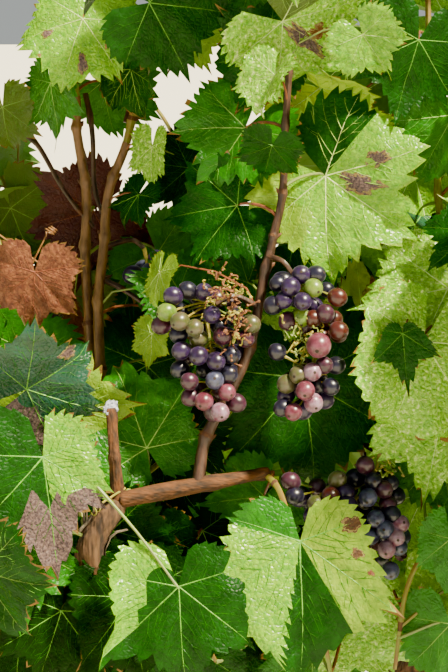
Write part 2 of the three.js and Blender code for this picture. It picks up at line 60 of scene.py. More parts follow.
fruitCentre = np.array([-80.0, -230.0, 780.0])  # the middle of the front bunches, where the camera looks
viewPitch = math.radians(9)
viewDistance = 1500
viewHeight = 504  # how much of the vine the picture shows from top to bottom
viewAcross = np.array([1.0, 0.0, 0.0])
viewUp = np.array([0.0, math.sin(viewPitch), math.cos(viewPitch)])
viewDeep = np.array([0.0, math.cos(viewPitch), -math.sin(viewPitch)])
worldUp = np.array([0.0, 0.0, 1.0])
fullTurn = 2 * math.pi


def seen(across, upwards, behind=0.0):  # a place by where it shows from the front
    spread = 1 + behind / viewDistance
    return fruitCentre + spread * (across * viewAcross + upwards * viewUp) + behind * viewDeep


def dice(a, b, c):  # 0 to 1, the same draws as the solids have
    wave = np.sin(a * 12.9898 + b * 78.233 + c * 37.719 + 4.1) * 43758.5453
    return wave - np.floor(wave)


def swing(a, b, c):  # such a draw from -1 to 1
    return dice(a, b, c) * 2 - 1


def swings(a, b, c):  # three of them, as a direction
    return np.array([swing(a, b, c + k) for k in range(3)])


def unit(v):
    v = np.asarray(v, float)
    return v / np.linalg.norm(v, axis=-1, keepdims=True)


def squareTo(v):  # some direction at a right angle to this one
    return unit(np.cross(v, np.eye(3)[np.argmin(np.abs(v))]))


def outward(place):  # level, straight away from the trunk
    return unit([place[0], place[1], 0.0])


def turned(v, axis, degrees):  # v turned about a unit axis
    a = math.radians(degrees)
    return v * math.cos(a) + np.cross(axis, v) * math.sin(a) + axis * np.dot(axis, v) * (1 - math.cos(a))


class Route:  # a smooth curve through points
    def __init__(self, points):
        self.points = np.array(points, float)
        self.spans = len(self.points) - 1
        self.length = float(np.linalg.norm(np.diff(self.steps(201), axis=0), axis=1).sum())

    def at(self, t):
        t = np.atleast_1d(np.asarray(t, float))
        place = t * self.spans
        span = np.minimum(np.floor(place).astype(int), self.spans - 1)
        w = (place - span)[:, None]
        ends = [2 * self.points[0] - self.points[1]], [2 * self.points[-1] - self.points[-2]]
        p = np.vstack([ends[0], self.points, ends[1]])
        p0, p1, p2, p3 = (p[span + k] for k in range(4))
        m1, m2 = 0.5 * (p2 - p0), 0.5 * (p3 - p1)
        return (2 * p1 - 2 * p2 + m1 + m2) * w ** 3 + (3 * p2 - 3 * p1 - 2 * m1 - m2) * w ** 2 + m1 * w + p1

    def steps(self, count):
        return self.at(np.linspace(0, 1, count))

    def one(self, t):
        return self.at(t)[0]

    def along(self, t, step=1e-4):  # the way it runs there
        return unit(self.one(min(1, t + step)) - self.one(max(0, t - step)))

    def chord(self, t, rings):  # the same place on the straight stretches of the solid
        ring = min(math.floor(t * rings), rings - 1)
        a, b = self.one(ring / rings), self.one((ring + 1) / rings)
        return a + (b - a) * (t * rings - ring)


def bowed(start, end, first, second, count):  # a cubic from start to end, pulled by two handles
    t = np.linspace(0, 1, count)[:, None]
    a, b = start + first, end + second
    return start * (1 - t) ** 3 + 3 * a * t * (1 - t) ** 2 + 3 * b * t ** 2 * (1 - t) + end * t ** 3


def carried(path):  # two directions square to a path, carried along it without a twist
    tangent = unit(np.gradient(path, axis=0))
    first = np.empty_like(path)
    first[0] = squareTo(tangent[0])
    for i in range(1, len(path)):
        first[i] = unit(first[i - 1] - tangent[i] * np.dot(first[i - 1], tangent[i]))
    return first, np.cross(tangent, first)


# Many small things, joined from arrays

creaseOver = {"small": 50, "limb": 55}  # degrees between two faces, past which their edge is sharp


class Heap:  # points, triangles by point number, and the finish of each triangle
    def __init__(self):
        self.points = []
        self.corners = []
        self.finishes = []
        self.count = 0

    def add(self, points, corners, finish):
        self.points.append(np.asarray(points, float).reshape(-1, 3))
        self.corners.append(np.asarray(corners, int).reshape(-1, 3) + self.count)
        self.finishes.append(np.broadcast_to(np.asarray(finish, int), (len(self.corners[-1]),)))
        self.count += len(self.points[-1])

    def piece(self, name, finishes):
        mesh = bpy.data.meshes.new(name)
        points = np.concatenate(self.points) / 1000
        corners, finish = np.concatenate(self.corners), np.concatenate(self.finishes)
        back = np.unique(np.sort(corners, axis=1)[::-1], axis=0, return_index=True)[1]
        kept = np.sort(len(corners) - 1 - back)  # of two triangles that coincide, only the last
        corners, finish = corners[kept], finish[kept]
        mesh.vertices.add(len(points))
        mesh.vertices.foreach_set("co", points.astype(np.float32).ravel())
        mesh.loops.add(corners.size)
        mesh.loops.foreach_set("vertex_index", corners.astype(np.int32).ravel())
        mesh.polygons.add(len(corners))
        mesh.polygons.foreach_set("loop_start", np.arange(0, corners.size, 3, dtype=np.int32))
        for material in finishes:
            mesh.materials.append(material)
        mesh.polygons.foreach_set("material_index", finish.astype(np.int32))
        mesh.update(calc_edges=True)
        mesh.validate()
        mesh.shade_smooth()
        mesh.set_sharp_from_angle(angle=math.radians(creaseOver["small"]))
        made = bpy.data.objects.new(name, mesh)
        bpy.context.collection.objects.link(made)
        print(f"{name}: {len(corners)} triangles")
        return made


def cells(ids, flip=False):  # two triangles for each cell of a grid of point numbers
    a, b, c, d = ids[:-1, :-1], ids[1:, :-1], ids[1:, 1:], ids[:-1, 1:]
    made = np.stack([np.stack([a, b, c], -1), np.stack([a, c, d], -1)], 2).reshape(-1, 3)
    return made[:, ::-1] if flip else made


def fan(centre, line, flip=False):  # triangles from one point to a line of point numbers
    made = np.stack([np.full(len(line) - 1, centre), line[:-1], line[1:]], -1)
    return made[:, ::-1] if flip else made


def ringIds(rows, around):  # the numbers of rows of points that close round
    ids = np.arange(rows * around).reshape(rows, around)
    return np.hstack([ids, ids[:, :1]])


def copies(corners, count, size):  # the same triangles for several shapes of so many points each
    return (corners[None] + np.arange(count)[:, None, None] * size).reshape(-1, 3)


def turns(count):  # angles once round, the first not repeated
    return np.arange(count) * fullTurn / count


def tube(heap, path, radii, sides, finish, ribs=0.0):  # a round tapering twig, closed at both ends
    path = np.asarray(path, float)
    count = len(path)
    radii = np.broadcast_to(np.asarray(radii, float), (count,))
    first, second = carried(path)
    across, upwards = np.cos(turns(sides))[:, None], np.sin(turns(sides))[:, None]
    grooved = 1 + ribs * np.cos(np.arange(sides) * math.pi)
    ring = (first[:, None] * across + second[:, None] * upwards) * grooved[:, None]
    points = np.vstack([(path[:, None] + ring * radii[:, None, None]).reshape(-1, 3), path[:1], path[-1:]])
    ids = ringIds(count, sides)
    corners = [cells(ids, True), fan(count * sides, ids[0], True), fan(count * sides + 1, ids[-1])]
    if np.ndim(finish):  # one finish for each ring
        ends = [np.full(sides, finish[0]), np.full(sides, finish[-1])]
        finish = np.concatenate([np.repeat(np.asarray(finish)[:-1], sides * 2), *ends])
    heap.add(points, np.vstack(corners), finish)


# Finishes


def linear(code):  # an sRGB hex colour as the renderer reads it
    parts = [int(code[i:i + 2], 16) / 255 for i in (0, 2, 4)]
    return [*(p / 12.92 if p <= 0.04045 else ((p + 0.055) / 1.055) ** 2.4 for p in parts), 1.0]


def addNode(tree, kind, settings=None, links=None):
    node = tree.nodes.new(kind)
    for key, value in (settings or {}).items():
        if isinstance(key, int) or key in node.inputs:
            node.inputs[key].default_value = value
        else:
            setattr(node, key, value)
    for key, source in (links or {}).items():
        tree.links.new(source, node.inputs[key])
    return node


mottle = {"detail": 3.0, "roughness": 0.6, "stops": {2: (0.36, 0.64), 3: (0.36, 0.56, 0.68)}}


def mottled(tree, coordinates, hexes, size):  # near colours in soft spots, the third of three in flecks only
    spots = addNode(tree, "ShaderNodeTexNoise",
                    {"Scale": 1000 / size, "Detail": mottle["detail"], "Roughness": mottle["roughness"]},
                    {"Vector": coordinates})
    ramp = addNode(tree, "ShaderNodeValToRGB", links={"Fac": spots.outputs["Fac"]})
    stops = ramp.color_ramp.elements
    places = mottle["stops"][len(hexes.split())]
    stops[0].position, stops[1].position = places[:2]
    for place in places[2:]:
        stops.new(place)
    for stop, code in zip(stops, hexes.split()):
        stop.color = linear(code)
    return ramp.outputs["Color"]


def newMaterial(name, hexes, rough, spotSize=None, sockets=None):
    material = bpy.data.materials.new(name)
    material.use_nodes = True
    tree = material.node_tree
    shader = tree.nodes["Principled BSDF"]
    shader.inputs["Base Color"].default_value = linear(hexes.split()[0])
    shader.inputs["Roughness"].default_value = rough
    for key, value in (sockets or {}).items():
        shader.inputs[key].default_value = value
    coordinates = addNode(tree, "ShaderNodeTexCoord").outputs["Object"]
    if spotSize:
        tree.links.new(mottled(tree, coordinates, hexes, spotSize), shader.inputs["Base Color"])
    return material, tree, shader, coordinates


def bumped(tree, height, depth, strength):  # a normal from a height, its depth in millimetres
    return addNode(tree, "ShaderNodeBump", {"Strength": strength, "Distance": depth / 1000},
                   {"Height": height}).outputs["Normal"]


# Vine leaf, living: a waxy green skin with a soft gloss, quilted between its veins, that glows yellow-green
# where light comes through it. The second colour is a near tint it is mottled with. The tints are partly the
# leaves' own and partly painted light: shade, deep and mid are darkened as painted shade for leaves that stand
# in shadow, lit and pale are lightened as painted sunlight, and the third colour of pale is painted glare in
# flecks. Each row: colours, glow, share of light let through, roughness, and what else is its own.
leafFinishes = {
    "shade": ("0a3001 062201", "30780a", 0.26, 0.50, {"gloss": 0.10}),
    "deep": ("0c4601 063401", "449c06", 0.30, 0.42, {"gloss": 0.20}),
    "mid": ("2c7a04 185a02", "82c80e", 0.34, 0.36, {"gloss": 0.32}),
    "lit": ("589a02 8cc00e", "c0ee22", 0.34, 0.28, {"spots": 3.2, "puff": 1.2}),
    "pale": ("5ca00e 96c82c dcec98", "d4f44c", 0.32, 0.24, {"spots": 3.0, "puff": 1.5}),
    "gold": ("94b41c 70980f", "d0ec1c", 0.40, 0.42, {"spots": 5.0}),
    "yellow": ("a4b40a 8aa208", "d4dc10", 0.42, 0.48, {}),
    "teal": ("104434 164222", "2f8a3a", 0.14, 0.34, {}),
    "olive": ("4f6612 405a12", "93a81c", 0.30, 0.50, {}),
    "maroon": ("3a0c10 4c1614", "8a2414", 0.26, 0.50, {}),
    "rust": ("5a2812 84502e", "9c5428", 0.22, 0.65, {"spots": 4.0}),
    "plum": ("2c1a22 6a5450", "745450", 0.10, 0.62, {"spots": 1.8}),
    "blush": ("704632 949044", "b08a50", 0.24, 0.50, {"spots": 3.0}),
    "brown": ("5c400e 86641a", "987018", 0.24, 0.70, {}),
    "scorch": ("38200c 56340e", "6a4014", 0.14, 0.70, {"spots": 2.6}),
    "veinDark": ("6aa82e", "8ac03a", 0.15, 0.50, {"spots": None}),
    "veinMid": ("9cc452", "a8cc48", 0.15, 0.50, {"spots": None}),
    "veinLight": ("cce08a", "d4e888", 0.15, 0.50, {"spots": None}),
    "veinRed": ("8a4a30", "a85a3a", 0.12, 0.55, {"spots": None}),
    "under": ("58823a 4c7632", "8cc828", 0.34, 0.68, {}),
    "underPale": ("92b05c 80a24e", "c0e84a", 0.36, 0.70, {}),
}
quilt = {"cell": 3.6, "swell": 0.8, "grit": 1.8, "gritShare": 0.16, "gritDetail": 2.0}


def quilted(tree, coordinates, depth):  # skin puffed up between the smallest veins
    veins = addNode(tree, "ShaderNodeTexVoronoi",
                    {"feature": "DISTANCE_TO_EDGE", "Scale": 1000 / quilt["cell"]}, {"Vector": coordinates})
    puffed = addNode(tree, "ShaderNodeMath", {"operation": "POWER", 1: quilt["swell"]},
                     {0: veins.outputs["Distance"]})
    grit = addNode(tree, "ShaderNodeTexNoise", {"Scale": 1000 / quilt["grit"], "Detail": quilt["gritDetail"]},
                   {"Vector": coordinates})
    height = addNode(tree, "ShaderNodeMath", {"operation": "MULTIPLY_ADD", 1: quilt["gritShare"]},
                     {0: grit.outputs["Fac"], 2: puffed.outputs["Value"]})
    return bumped(tree, height.outputs["Value"], depth, 1.0)


def leafMaterial(name, hexes, glow, through, rough, spots=9.0, puff=0.75, gloss=0.5):
    material, tree, shader, coordinates = newMaterial(f"vine leaf {name}", hexes, rough, spots,
                                                      {"Specular IOR Level": gloss})
    normal = quilted(tree, coordinates, puff)
    tree.links.new(normal, shader.inputs["Normal"])
    light = addNode(tree, "ShaderNodeBsdfTranslucent", {"Color": linear(glow)}, {"Normal": normal})
    mixed = addNode(tree, "ShaderNodeMixShader", {"Fac": through},
                    {1: shader.outputs["BSDF"], 2: light.outputs["BSDF"]})
    tree.links.new(mixed.outputs["Shader"], tree.nodes["Material Output"].inputs["Surface"])
    return material


def woodMaterial(name, hexes, rough, spotSize, cell, depth, stretch=(1.0, 1.0, 1.0)):
    material, tree, shader, coordinates = newMaterial(name, hexes, rough)
    mapping = addNode(tree, "ShaderNodeMapping", {"Scale": stretch}, {"Vector": coordinates})
    grained = mapping.outputs["Vector"]
    cracks = addNode(tree, "ShaderNodeTexVoronoi",
                     {"feature": "SMOOTH_F1", "Scale": 1000 / cell, "Smoothness": 0.6}, {"Vector": grained})
    tree.links.new(mottled(tree, grained, hexes, spotSize), shader.inputs["Base Color"])
    tree.links.new(bumped(tree, cracks.outputs["Distance"], depth, 0.6), shader.inputs["Normal"])
    return material


leafMaterials = [leafMaterial(name, *row[:4], **row[4]) for name, row in leafFinishes.items()]
leafFinish = {name: i for i, name in enumerate(leafFinishes)}

# Old vine wood: dry, dull, grey-brown bark in long shreds, browner in the cracks. Each wood has its name,
# colours, roughness, size of its spots, size and depth of its cracks, and how its grain runs.
oldGrain = (1.0, 1.0, 0.2)
caneGrain = (1.0, 1.0, 0.3)
barks = {
    "trunk": woodMaterial("old vine bark", "75685a 2e241c", 0.95, 7.0, 2.4, 1.6, oldGrain),
    "inner": woodMaterial("old vine bark, inner", "6e4a30 3a2418", 0.9, 6.0, 2.0, 1.2, oldGrain),
    "arm": woodMaterial("old vine bark of the arms", "6a4c34 281a12", 0.92, 6.0, 2.2, 1.4, oldGrain),
    "cut": woodMaterial("cut wood, dried blue-white", "b0b8c8 585c6e", 0.85, 2.4, 0.9, 0.8),
}
# This year's canes, ripened: smooth, faintly shiny, finely striped bark from tan to purple-brown, darker at
# the joints. The shoots above them are still green-brown and supple, with redder joints.
caneFinishes = {
    "tan": ("ripe cane, tan", "7e5a34 4e3419", 0.5, 5.0, 1.4, 0.3, caneGrain),
    "purple": ("ripe cane, purple-brown", "4c3428 281812", 0.45, 5.0, 1.4, 0.3, caneGrain),
    "redJoint": ("shoot joint, red-brown", "5e3c20 321e12", 0.85, 5.0, 1.6, 1.2, (1.0, 1.0, 0.4)),
    "joint": ("cane joint, dark", "5c361c 402414", 0.7, 3.0, 1.2, 0.4),
    "green": ("green shoot", "6e7c24 7c5c24", 0.5, 14.0, 1.6, 0.15),
    "stalk": ("leaf stalk, green", "7c8f3a 6f7f46", 0.5, 12.0, 1.6, 0.15),
    "redStalk": ("leaf stalk, red", "84482a 6a3c24", 0.45, 10.0, 1.6, 0.15),
    "tendril": ("tendril, woody", "8e6230 6c4420", 0.6, 6.0, 1.2, 0.2),
    "dry": ("dried grape stalk", "94603a 482414", 0.75, 2.4, 1.2, 0.4),
    "gold": ("grape stalk, yellow-green", "a8923a 6f7a24", 0.6, 5.0, 1.2, 0.2),
}
caneMaterials = [woodMaterial(*row) for row in caneFinishes.values()]
cane = {name: i for i, name in enumerate(caneFinishes)}

# Grape skin: taut and glossy under a dusty bluish bloom that is rubbed off in spots.
berryFinishes = {
    "blueBlack": "0c0a1a 18152c", "violet": "1a0a28 2c1a44", "wine": "280c1c 401c30",
    "dullRed": "300a06 461810", "pink": "4c1424 703a4c", "rose": "643044 8c7286",
    "green": "4e6c10 6e822c", "greyGreen": "40481a 524836", "dusty": "1c1e30 4a4c6a",
}
berrySkin = {"Coat Weight": 0.2, "Coat Roughness": 0.2, "Sheen Weight": 0.13, "Sheen Roughness": 0.45,
             "Sheen Tint": linear("b8b4d0"), "Subsurface Weight": 0.08, "Subsurface Scale": 0.004}
berryMaterials = [newMaterial(f"grape skin {name}", hexes, 0.32, 6.0, berrySkin)[0]
                  for name, hexes in berryFinishes.items()]
berryMaterials.append(newMaterial("grape scar, corky", "2a1c14", 0.8)[0])
berryMaterials.append(newMaterial("dried grape, wrinkled", "35222c 4f3038", 0.6, 3.0)[0])
berryFinish = {name: i for i, name in enumerate([*berryFinishes, "scar", "raisin"])}
print("finishes made")

# The limbs

trunkSize = {"height": 430, "radius": 35, "head": 46, "headAt": 0.9, "headSpread": 0.17, "flare": 62,
             "flareFade": 9, "leanAcross": 14, "leanDeep": -8, "top": 0.955, "rounding": 0.62, "sunk": 2.2,
             "around": 144, "along": 200}
trunkRibs = ((0.11, 3, 6), (0.06, 5, -9), (0.03, 9, 14))  # depth, how many round, how they wind
burls = {"width": 0.075, "places": [  # swollen scars of old arms: round the trunk, up it, height, how proud
    (0.15, 0.30, 0.055, 8), (0.62, 0.46, 0.05, 10), (0.88, 0.62, 0.06, 9), (0.36, 0.72, 0.05, 8),
    (0.05, 0.83, 0.045, 7)]}
armSize = {"foot": 25, "tip": 13, "girth": 0.62, "seed": 11, "around": 64, "along": 104, "sunk": 0.8}
slimTips = {"arm_front_left": 8.5}
knuckles = ((0.16, 0.55, 0.05), (0.14, 0.93, 0.06))  # where canes were cut off: how proud, where, how long
# How many of each go round a thick limb, their length and their depth.
barkCoat = {"plates": (22, 52, 4.6), "shreds": (44, 24, 2.4), "fibres": (72, 9, 1.0)}

junction = seen(-79, -123)
armPoints = {
    "arm_front_left": [(-20, -15, 395), (-85, -110, 455), (-165, -212, 545), (-180, -250, 618), junction],
    "arm_front_right": [(15, -18, 395), (75, -85, 460), (125, -155, 545), (140, -178, 615)],
    "arm_right": [(20, 5, 395), (115, 25, 440), (205, 55, 520), (245, 75, 605)],
    "arm_back": [(5, 20, 395), (30, 115, 460), (60, 195, 550), (55, 230, 625)],
    "arm_left": [(-20, 8, 395), (-110, 15, 445), (-190, -35, 540), (-192, -95, 635)],
}
limbs = {name: Route(points) for name, points in armPoints.items()}


def eased(f):
    return f * f * (3 - 2 * f)


def grain(u, v, around, seed):  # uneven relief that closes round a limb, where v counts cells along it
    table = np.random.default_rng(seed).random((int(v.max()) + 3, around))
    x, y = u * around, v
    i, j = np.floor(x).astype(int), np.floor(y).astype(int)
    fx, fy = eased(x - i), eased(y - j)
    i, k = i % around, (i + 1) % around
    below = table[j, i] * (1 - fx) + table[j, k] * fx
    above = table[j + 1, i] * (1 - fx) + table[j + 1, k] * fx
    return below * (1 - fy) + above * fy


def barkHeight(u, v, length, girth, seed):  # plates, shreds and fibres that run along the limb
    drift = u + 0.02 * np.sin(v * length / 60) + 0.012 * np.sin(v * length / 23 + 2)
    height = np.zeros_like(u)
    for around, cell, depth in barkCoat.values():
        around = max(7, int(around * girth))
        rough = grain(drift % 1.0, v * length / cell, around, seed + around)
        stepped = np.floor(rough * 5) / 5
        height += depth * girth * (stepped * 0.5 + rough * 0.5 - 0.5)
    return height


def rolled(name, around, along, place, finish):  # a grid rolled into a limb, its seam and ends closed
    bpy.ops.mesh.primitive_grid_add(x_subdivisions=around, y_subdivisions=along, size=2)
    limb = bpy.context.object
    limb.name = limb.data.name = name
    flat = np.empty(len(limb.data.vertices) * 3, np.float32)
    limb.data.vertices.foreach_get("co", flat)
    flat = flat.reshape(-1, 3)
    u, v = (flat[:, 0] + 1) / 2, (flat[:, 1] + 1) / 2
    points = place(np.where(u > 0.99999, 0.0, u), v) / 1000
    limb.data.vertices.foreach_set("co", points.astype(np.float32).ravel())
    bpy.ops.object.mode_set(mode="EDIT")
    bpy.ops.mesh.select_all(action="SELECT")
    bpy.ops.mesh.remove_doubles(threshold=1e-6)
    bpy.ops.mesh.select_all(action="DESELECT")
    bpy.ops.mesh.select_non_manifold()
    bpy.ops.mesh.edge_face_add()
    bpy.ops.mesh.select_all(action="SELECT")
    bpy.ops.mesh.quads_convert_to_tris()
    bpy.ops.mesh.normals_make_consistent(inside=False)
    bpy.ops.object.mode_set(mode="OBJECT")
    limb.data.materials.append(finish)
    limb.data.shade_smooth()
    limb.data.set_sharp_from_angle(angle=math.radians(creaseOver["limb"]))
    bpy.ops.object.select_all(action="DESELECT")
    print(f"{name}: {len(limb.data.polygons)} faces")
    return limb


def trunkPlace(u, v, proud=0.0):
    angle = u * fullTurn
    flare = (trunkSize["flare"] - trunkSize["radius"]) * np.exp(-v * trunkSize["flareFade"])
    head = np.exp(-((v - trunkSize["headAt"]) / trunkSize["headSpread"]) ** 2)
    head = head * (trunkSize["head"] - trunkSize["radius"])
    ribs = 1 + sum(depth * np.sin(count * angle + wind * v) for depth, count, wind in trunkRibs)
    over = np.clip((v - trunkSize["top"]) / (1 - trunkSize["top"]), 0, 1)
    crown = 1 - trunkSize["rounding"] * over ** 2
    coat = barkHeight(u, v, trunkSize["height"], 1.0, 3) * np.clip((1.02 - v) * 12, 0, 1)
    for place, height, size, swell in burls["places"]:
        off = (u - place + 0.5) % 1 - 0.5
        coat = coat + swell * np.exp(-(off / burls["width"]) ** 2 - ((v - height) / size) ** 2)
    radius = (trunkSize["radius"] + flare + head) * ribs * crown - trunkSize["sunk"] + coat + proud
    bow = np.sin(v * math.pi)
    return np.stack([np.cos(angle) * radius + bow * trunkSize["leanAcross"],
                     -np.sin(angle) * radius + bow * trunkSize["leanDeep"], v * trunkSize["height"]], -1)


def limbPlace(route, foot, tip, girth, seed):  # a tapering limb with knuckles
    rows = 400
    path = route.steps(rows)
    first, second = carried(path)

    def place(u, v, proud=0.0):
        row = np.clip((v * (rows - 1)).round().astype(int), 0, rows - 1)
        angle = u * fullTurn
        knuckle = sum(swell * np.exp(-((v - at) / size) ** 2) for swell, at, size in knuckles)
        lumps = 1 + 0.07 * np.sin(2 * angle + 7 * v + seed) + 0.04 * np.sin(4 * angle - 11 * v) + knuckle
        closing = np.where((v < 0.004) | (v > 0.996), 0.75, 1.0)  # the ends are drawn in a little
        radius = (foot + (tip - foot) * v) * lumps - armSize["sunk"]
        radius = (radius + barkHeight(u, v, route.length, girth, seed)) * closing
        out = first[row] * np.cos(angle)[:, None] + second[row] * np.sin(angle)[:, None]
        return path[row] + (radius + proud)[:, None] * out

    return place


trunk = rolled("trunk_bark", trunkSize["around"], trunkSize["along"], trunkPlace, barks["trunk"])
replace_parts(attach(trunk, "root"), "trunk")

peelings = Heap()
peelSize = {"onTrunk": 84, "onArm": 30, "width": (2.4, 7.5), "length": (40, 130), "longest": 0.4,
            "thick": 0.9, "lift": 8.0, "points": 8, "inner": 0.45}


def peel(place, length, seed):  # one shred of bark that has come away at its ends
    draw = np.random.default_rng(seed)
    count = peelSize["points"]
    step = np.arange(count)
    half = draw.uniform(*peelSize["width"]) / 2
    reach = min(peelSize["longest"], draw.uniform(*peelSize["length"]) / length)
    v = np.linspace(0, reach, count) + draw.uniform(0.03, 0.94 - reach)
    u = draw.random() + 0.015 * np.sin(step / 2 + draw.random() * 6)
    ends = np.abs(np.linspace(-1, 1, count)) ** 3 * draw.uniform(0.2, 1.0, count).cumsum() / 5
    lift = 0.8 + peelSize["lift"] * ends * np.where(step > 3, 1.0, draw.random())
    centre, inner = place(u % 1, v, lift), place(u % 1, v, 0.0)
    out = unit(centre - inner)
    side = unit(np.cross(np.gradient(centre, axis=0), out)) * (half * np.linspace(1, 0.5, count))[:, None]
    thick = out * peelSize["thick"] / 2
    section = [centre + side + thick, centre - side + thick, centre - side - thick, centre + side - thick]
    ids = ringIds(count, len(section))
    corners = [cells(ids, True), fan(ids[0, 0], ids[0, 1:4], True), fan(ids[-1, 0], ids[-1, 1:4])]
    peelings.add(np.stack(section, 1), np.vstack(corners), 1 if draw.random() < peelSize["inner"] else 0)


for i in range(peelSize["onTrunk"]):
    peel(trunkPlace, trunkSize["height"], 100 + i)
for order, (name, route) in enumerate(limbs.items()):
    tip = slimTips.get(name, armSize["tip"])
    place = limbPlace(route, armSize["foot"], tip, armSize["girth"], armSize["seed"] + order)
    arm = rolled(f"{name}_bark", armSize["around"], armSize["along"], place, barks["arm"])
    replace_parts(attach(arm, "root"), name)
    for i in range(peelSize["onArm"]):
        peel(place, route.length, 1000 + order * 100 + i)
shreds = peelings.piece("bark_shreds", [barks["trunk"], barks["inner"]])
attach(shreds, "root")
print("trunk and arms made")

# Canes, spurs and shoots

caneSize = {"foot": 4.4, "tip": 3.2, "stemTip": 1.5, "lowFoot": 2.6, "clearing": (2.3, 1.5), "bare": 150,
            "joint": 1.32, "jointLength": 4.0, "internode": 62, "zigzag": 0.7, "ribs": 0.025,
            "stoutOver": 3.4, "stout": {"step": 3.2, "sides": 14}, "thin": {"step": 5.0, "sides": 8},
            "budsOver": 3, "bud": (1.7, 2.0, 1.4, 0.3)}
spurSize = {"girth": 0.3, "seed": 31, "around": 36, "along": 70}
spurs = {
    "spur_right": {"path": [junction, seen(-40, -116, 4), seen(8, -107, 12), seen(34, -103, 20)],
                   "ends": (7.6, 5.4), "grain": (0.3, 1.0, 1.0)},
    "spur_stub": {"path": [junction, seen(-82, -95, -4), seen(-85, -54, -6)],
                  "ends": (6.6, 4.3), "grain": (1.0, 1.0, 0.3)},
}
# Leaves of the front shoots: across, up, behind, clock, reach, lean, roll, then a bend of the stalk.
# Their looks are partly tints and partly painted light: lit and pale paint sun, shade, deep and mid paint
# shade.
frontShoots = {
    "centre": {
        "on": "spur_right", "finish": "purple",
        "cane": [(-20, -110, 8), (-12, -76, 12), (12, -25, 10), (26, 22, 8), (35, 64, 5)],
        "stem": [(42, 98, 4), (47, 158, 2), (48, 205, 4), (53, 260, 10), (66, 350, 30), (86, 450, 60),
                 (110, 530, 90)],
        "leaves": [
            (10, 98, 22, 262, 58, 12, 12), (16, 156, 30, 216, 60, -8, 20), (36, 143, -14, 196, 32, 34, 0),
            (38, 196, -26, 205, 34, 0, 50), (76, 120, 6, 128, 84, -14, 12), (72, 186, 62, 120, 74, 0, 66),
            (33, 212, 22, 262, 50, 14, -10), (44, 236, -14, 118, 66, 30, 26), (20, 262, 36, 250, 45, 10, 10),
            (52, 70, 48, 88, 56, 10, 8), (18, 40, 48, 20, 40, 20, 20)],
        "looks": "deep mid deep pale lit yellow deep pale mid deep mid",
    },
    "left_a": {
        "on": "arm_left", "along": 0.97, "finish": "tan",
        "cane": [(-100, -40, 122), (-103, 36, 124), (-103, 92, 124), (-108, 140, 122), (-111, 180, 118)],
        "stem": [(-118, 236, 112), (-132, 310, 110), (-155, 410, 112), (-178, 500, 120)],
        "leaves": [
            (-106, 238, 50, 200, 60, -6, 8), (-130, 190, 80, 176, 46, 0, 52),
            (-166, 172, 118, 176, 40, 18, 20), (-70, 200, 86, 168, 44, 0, 46),
            (-92, 190, 132, 120, 52, 10, 14),
            (-112, 30, 170, 196, 46, 6, 10, (-108, 58, 150)), (-98, 94, 164, 252, 62, 8, -8)],
        "looks": "lit mid olive edged mid rust maroon",
    },
    "left_b": {
        "on": "arm_left", "along": 0.9, "finish": "tan",
        "cane": [(-95, -60, 112), (-94, -6, 108), (-92, 50, 106), (-88, 98, 106), (-73, 145, 104)],
        "stem": [(-58, 205, 100), (-44, 280, 100), (-34, 370, 106), (-26, 470, 120)],
        "leaves": [
            (-56, 250, 14, 96, 66, 12, 10), (-30, 232, 150, 150, 40, 10, 10), (-50, 62, 150, 140, 56, 8, 12),
            (-54, 142, 76, 186, 34, 6, 52), (-26, 126, 110, 232, 46, 10, 0), (-64, 106, 84, 214, 32, 0, 50)],
        "looks": "deep gold mid pale shade deep",
    },
    "front_right": {
        "on": "arm_front_right", "along": 0.9, "finish": "purple",
        "cane": [(222, -160, 58), (204, -90, 54), (178, -20, 52), (168, 4, 52)],
        "stem": [(164, 60, 48), (160, 130, 50), (155, 200, 50), (152, 300, 56), (158, 400, 70),
                 (172, 500, 90)],
        "leaves": [
            (134, 2, -26, 174, 40, 4, 4), (168, 36, 18, 206, 74, -8, 8), (150, -4, -8, 198, 82, -4, -12),
            (164, -58, 8, 192, 66, 0, 14), (186, 78, -8, 232, 42, 0, 24), (196, 120, 44, 190, 56, 8, 30),
            (146, 222, -20, 196, 58, 8, -16), (104, 226, -30, 146, 36, 14, 10),
            (172, 166, 10, 160, 60, 20, 0)],
        "looks": "deep pale pale pale deep pale deep lit mid",
    },
}
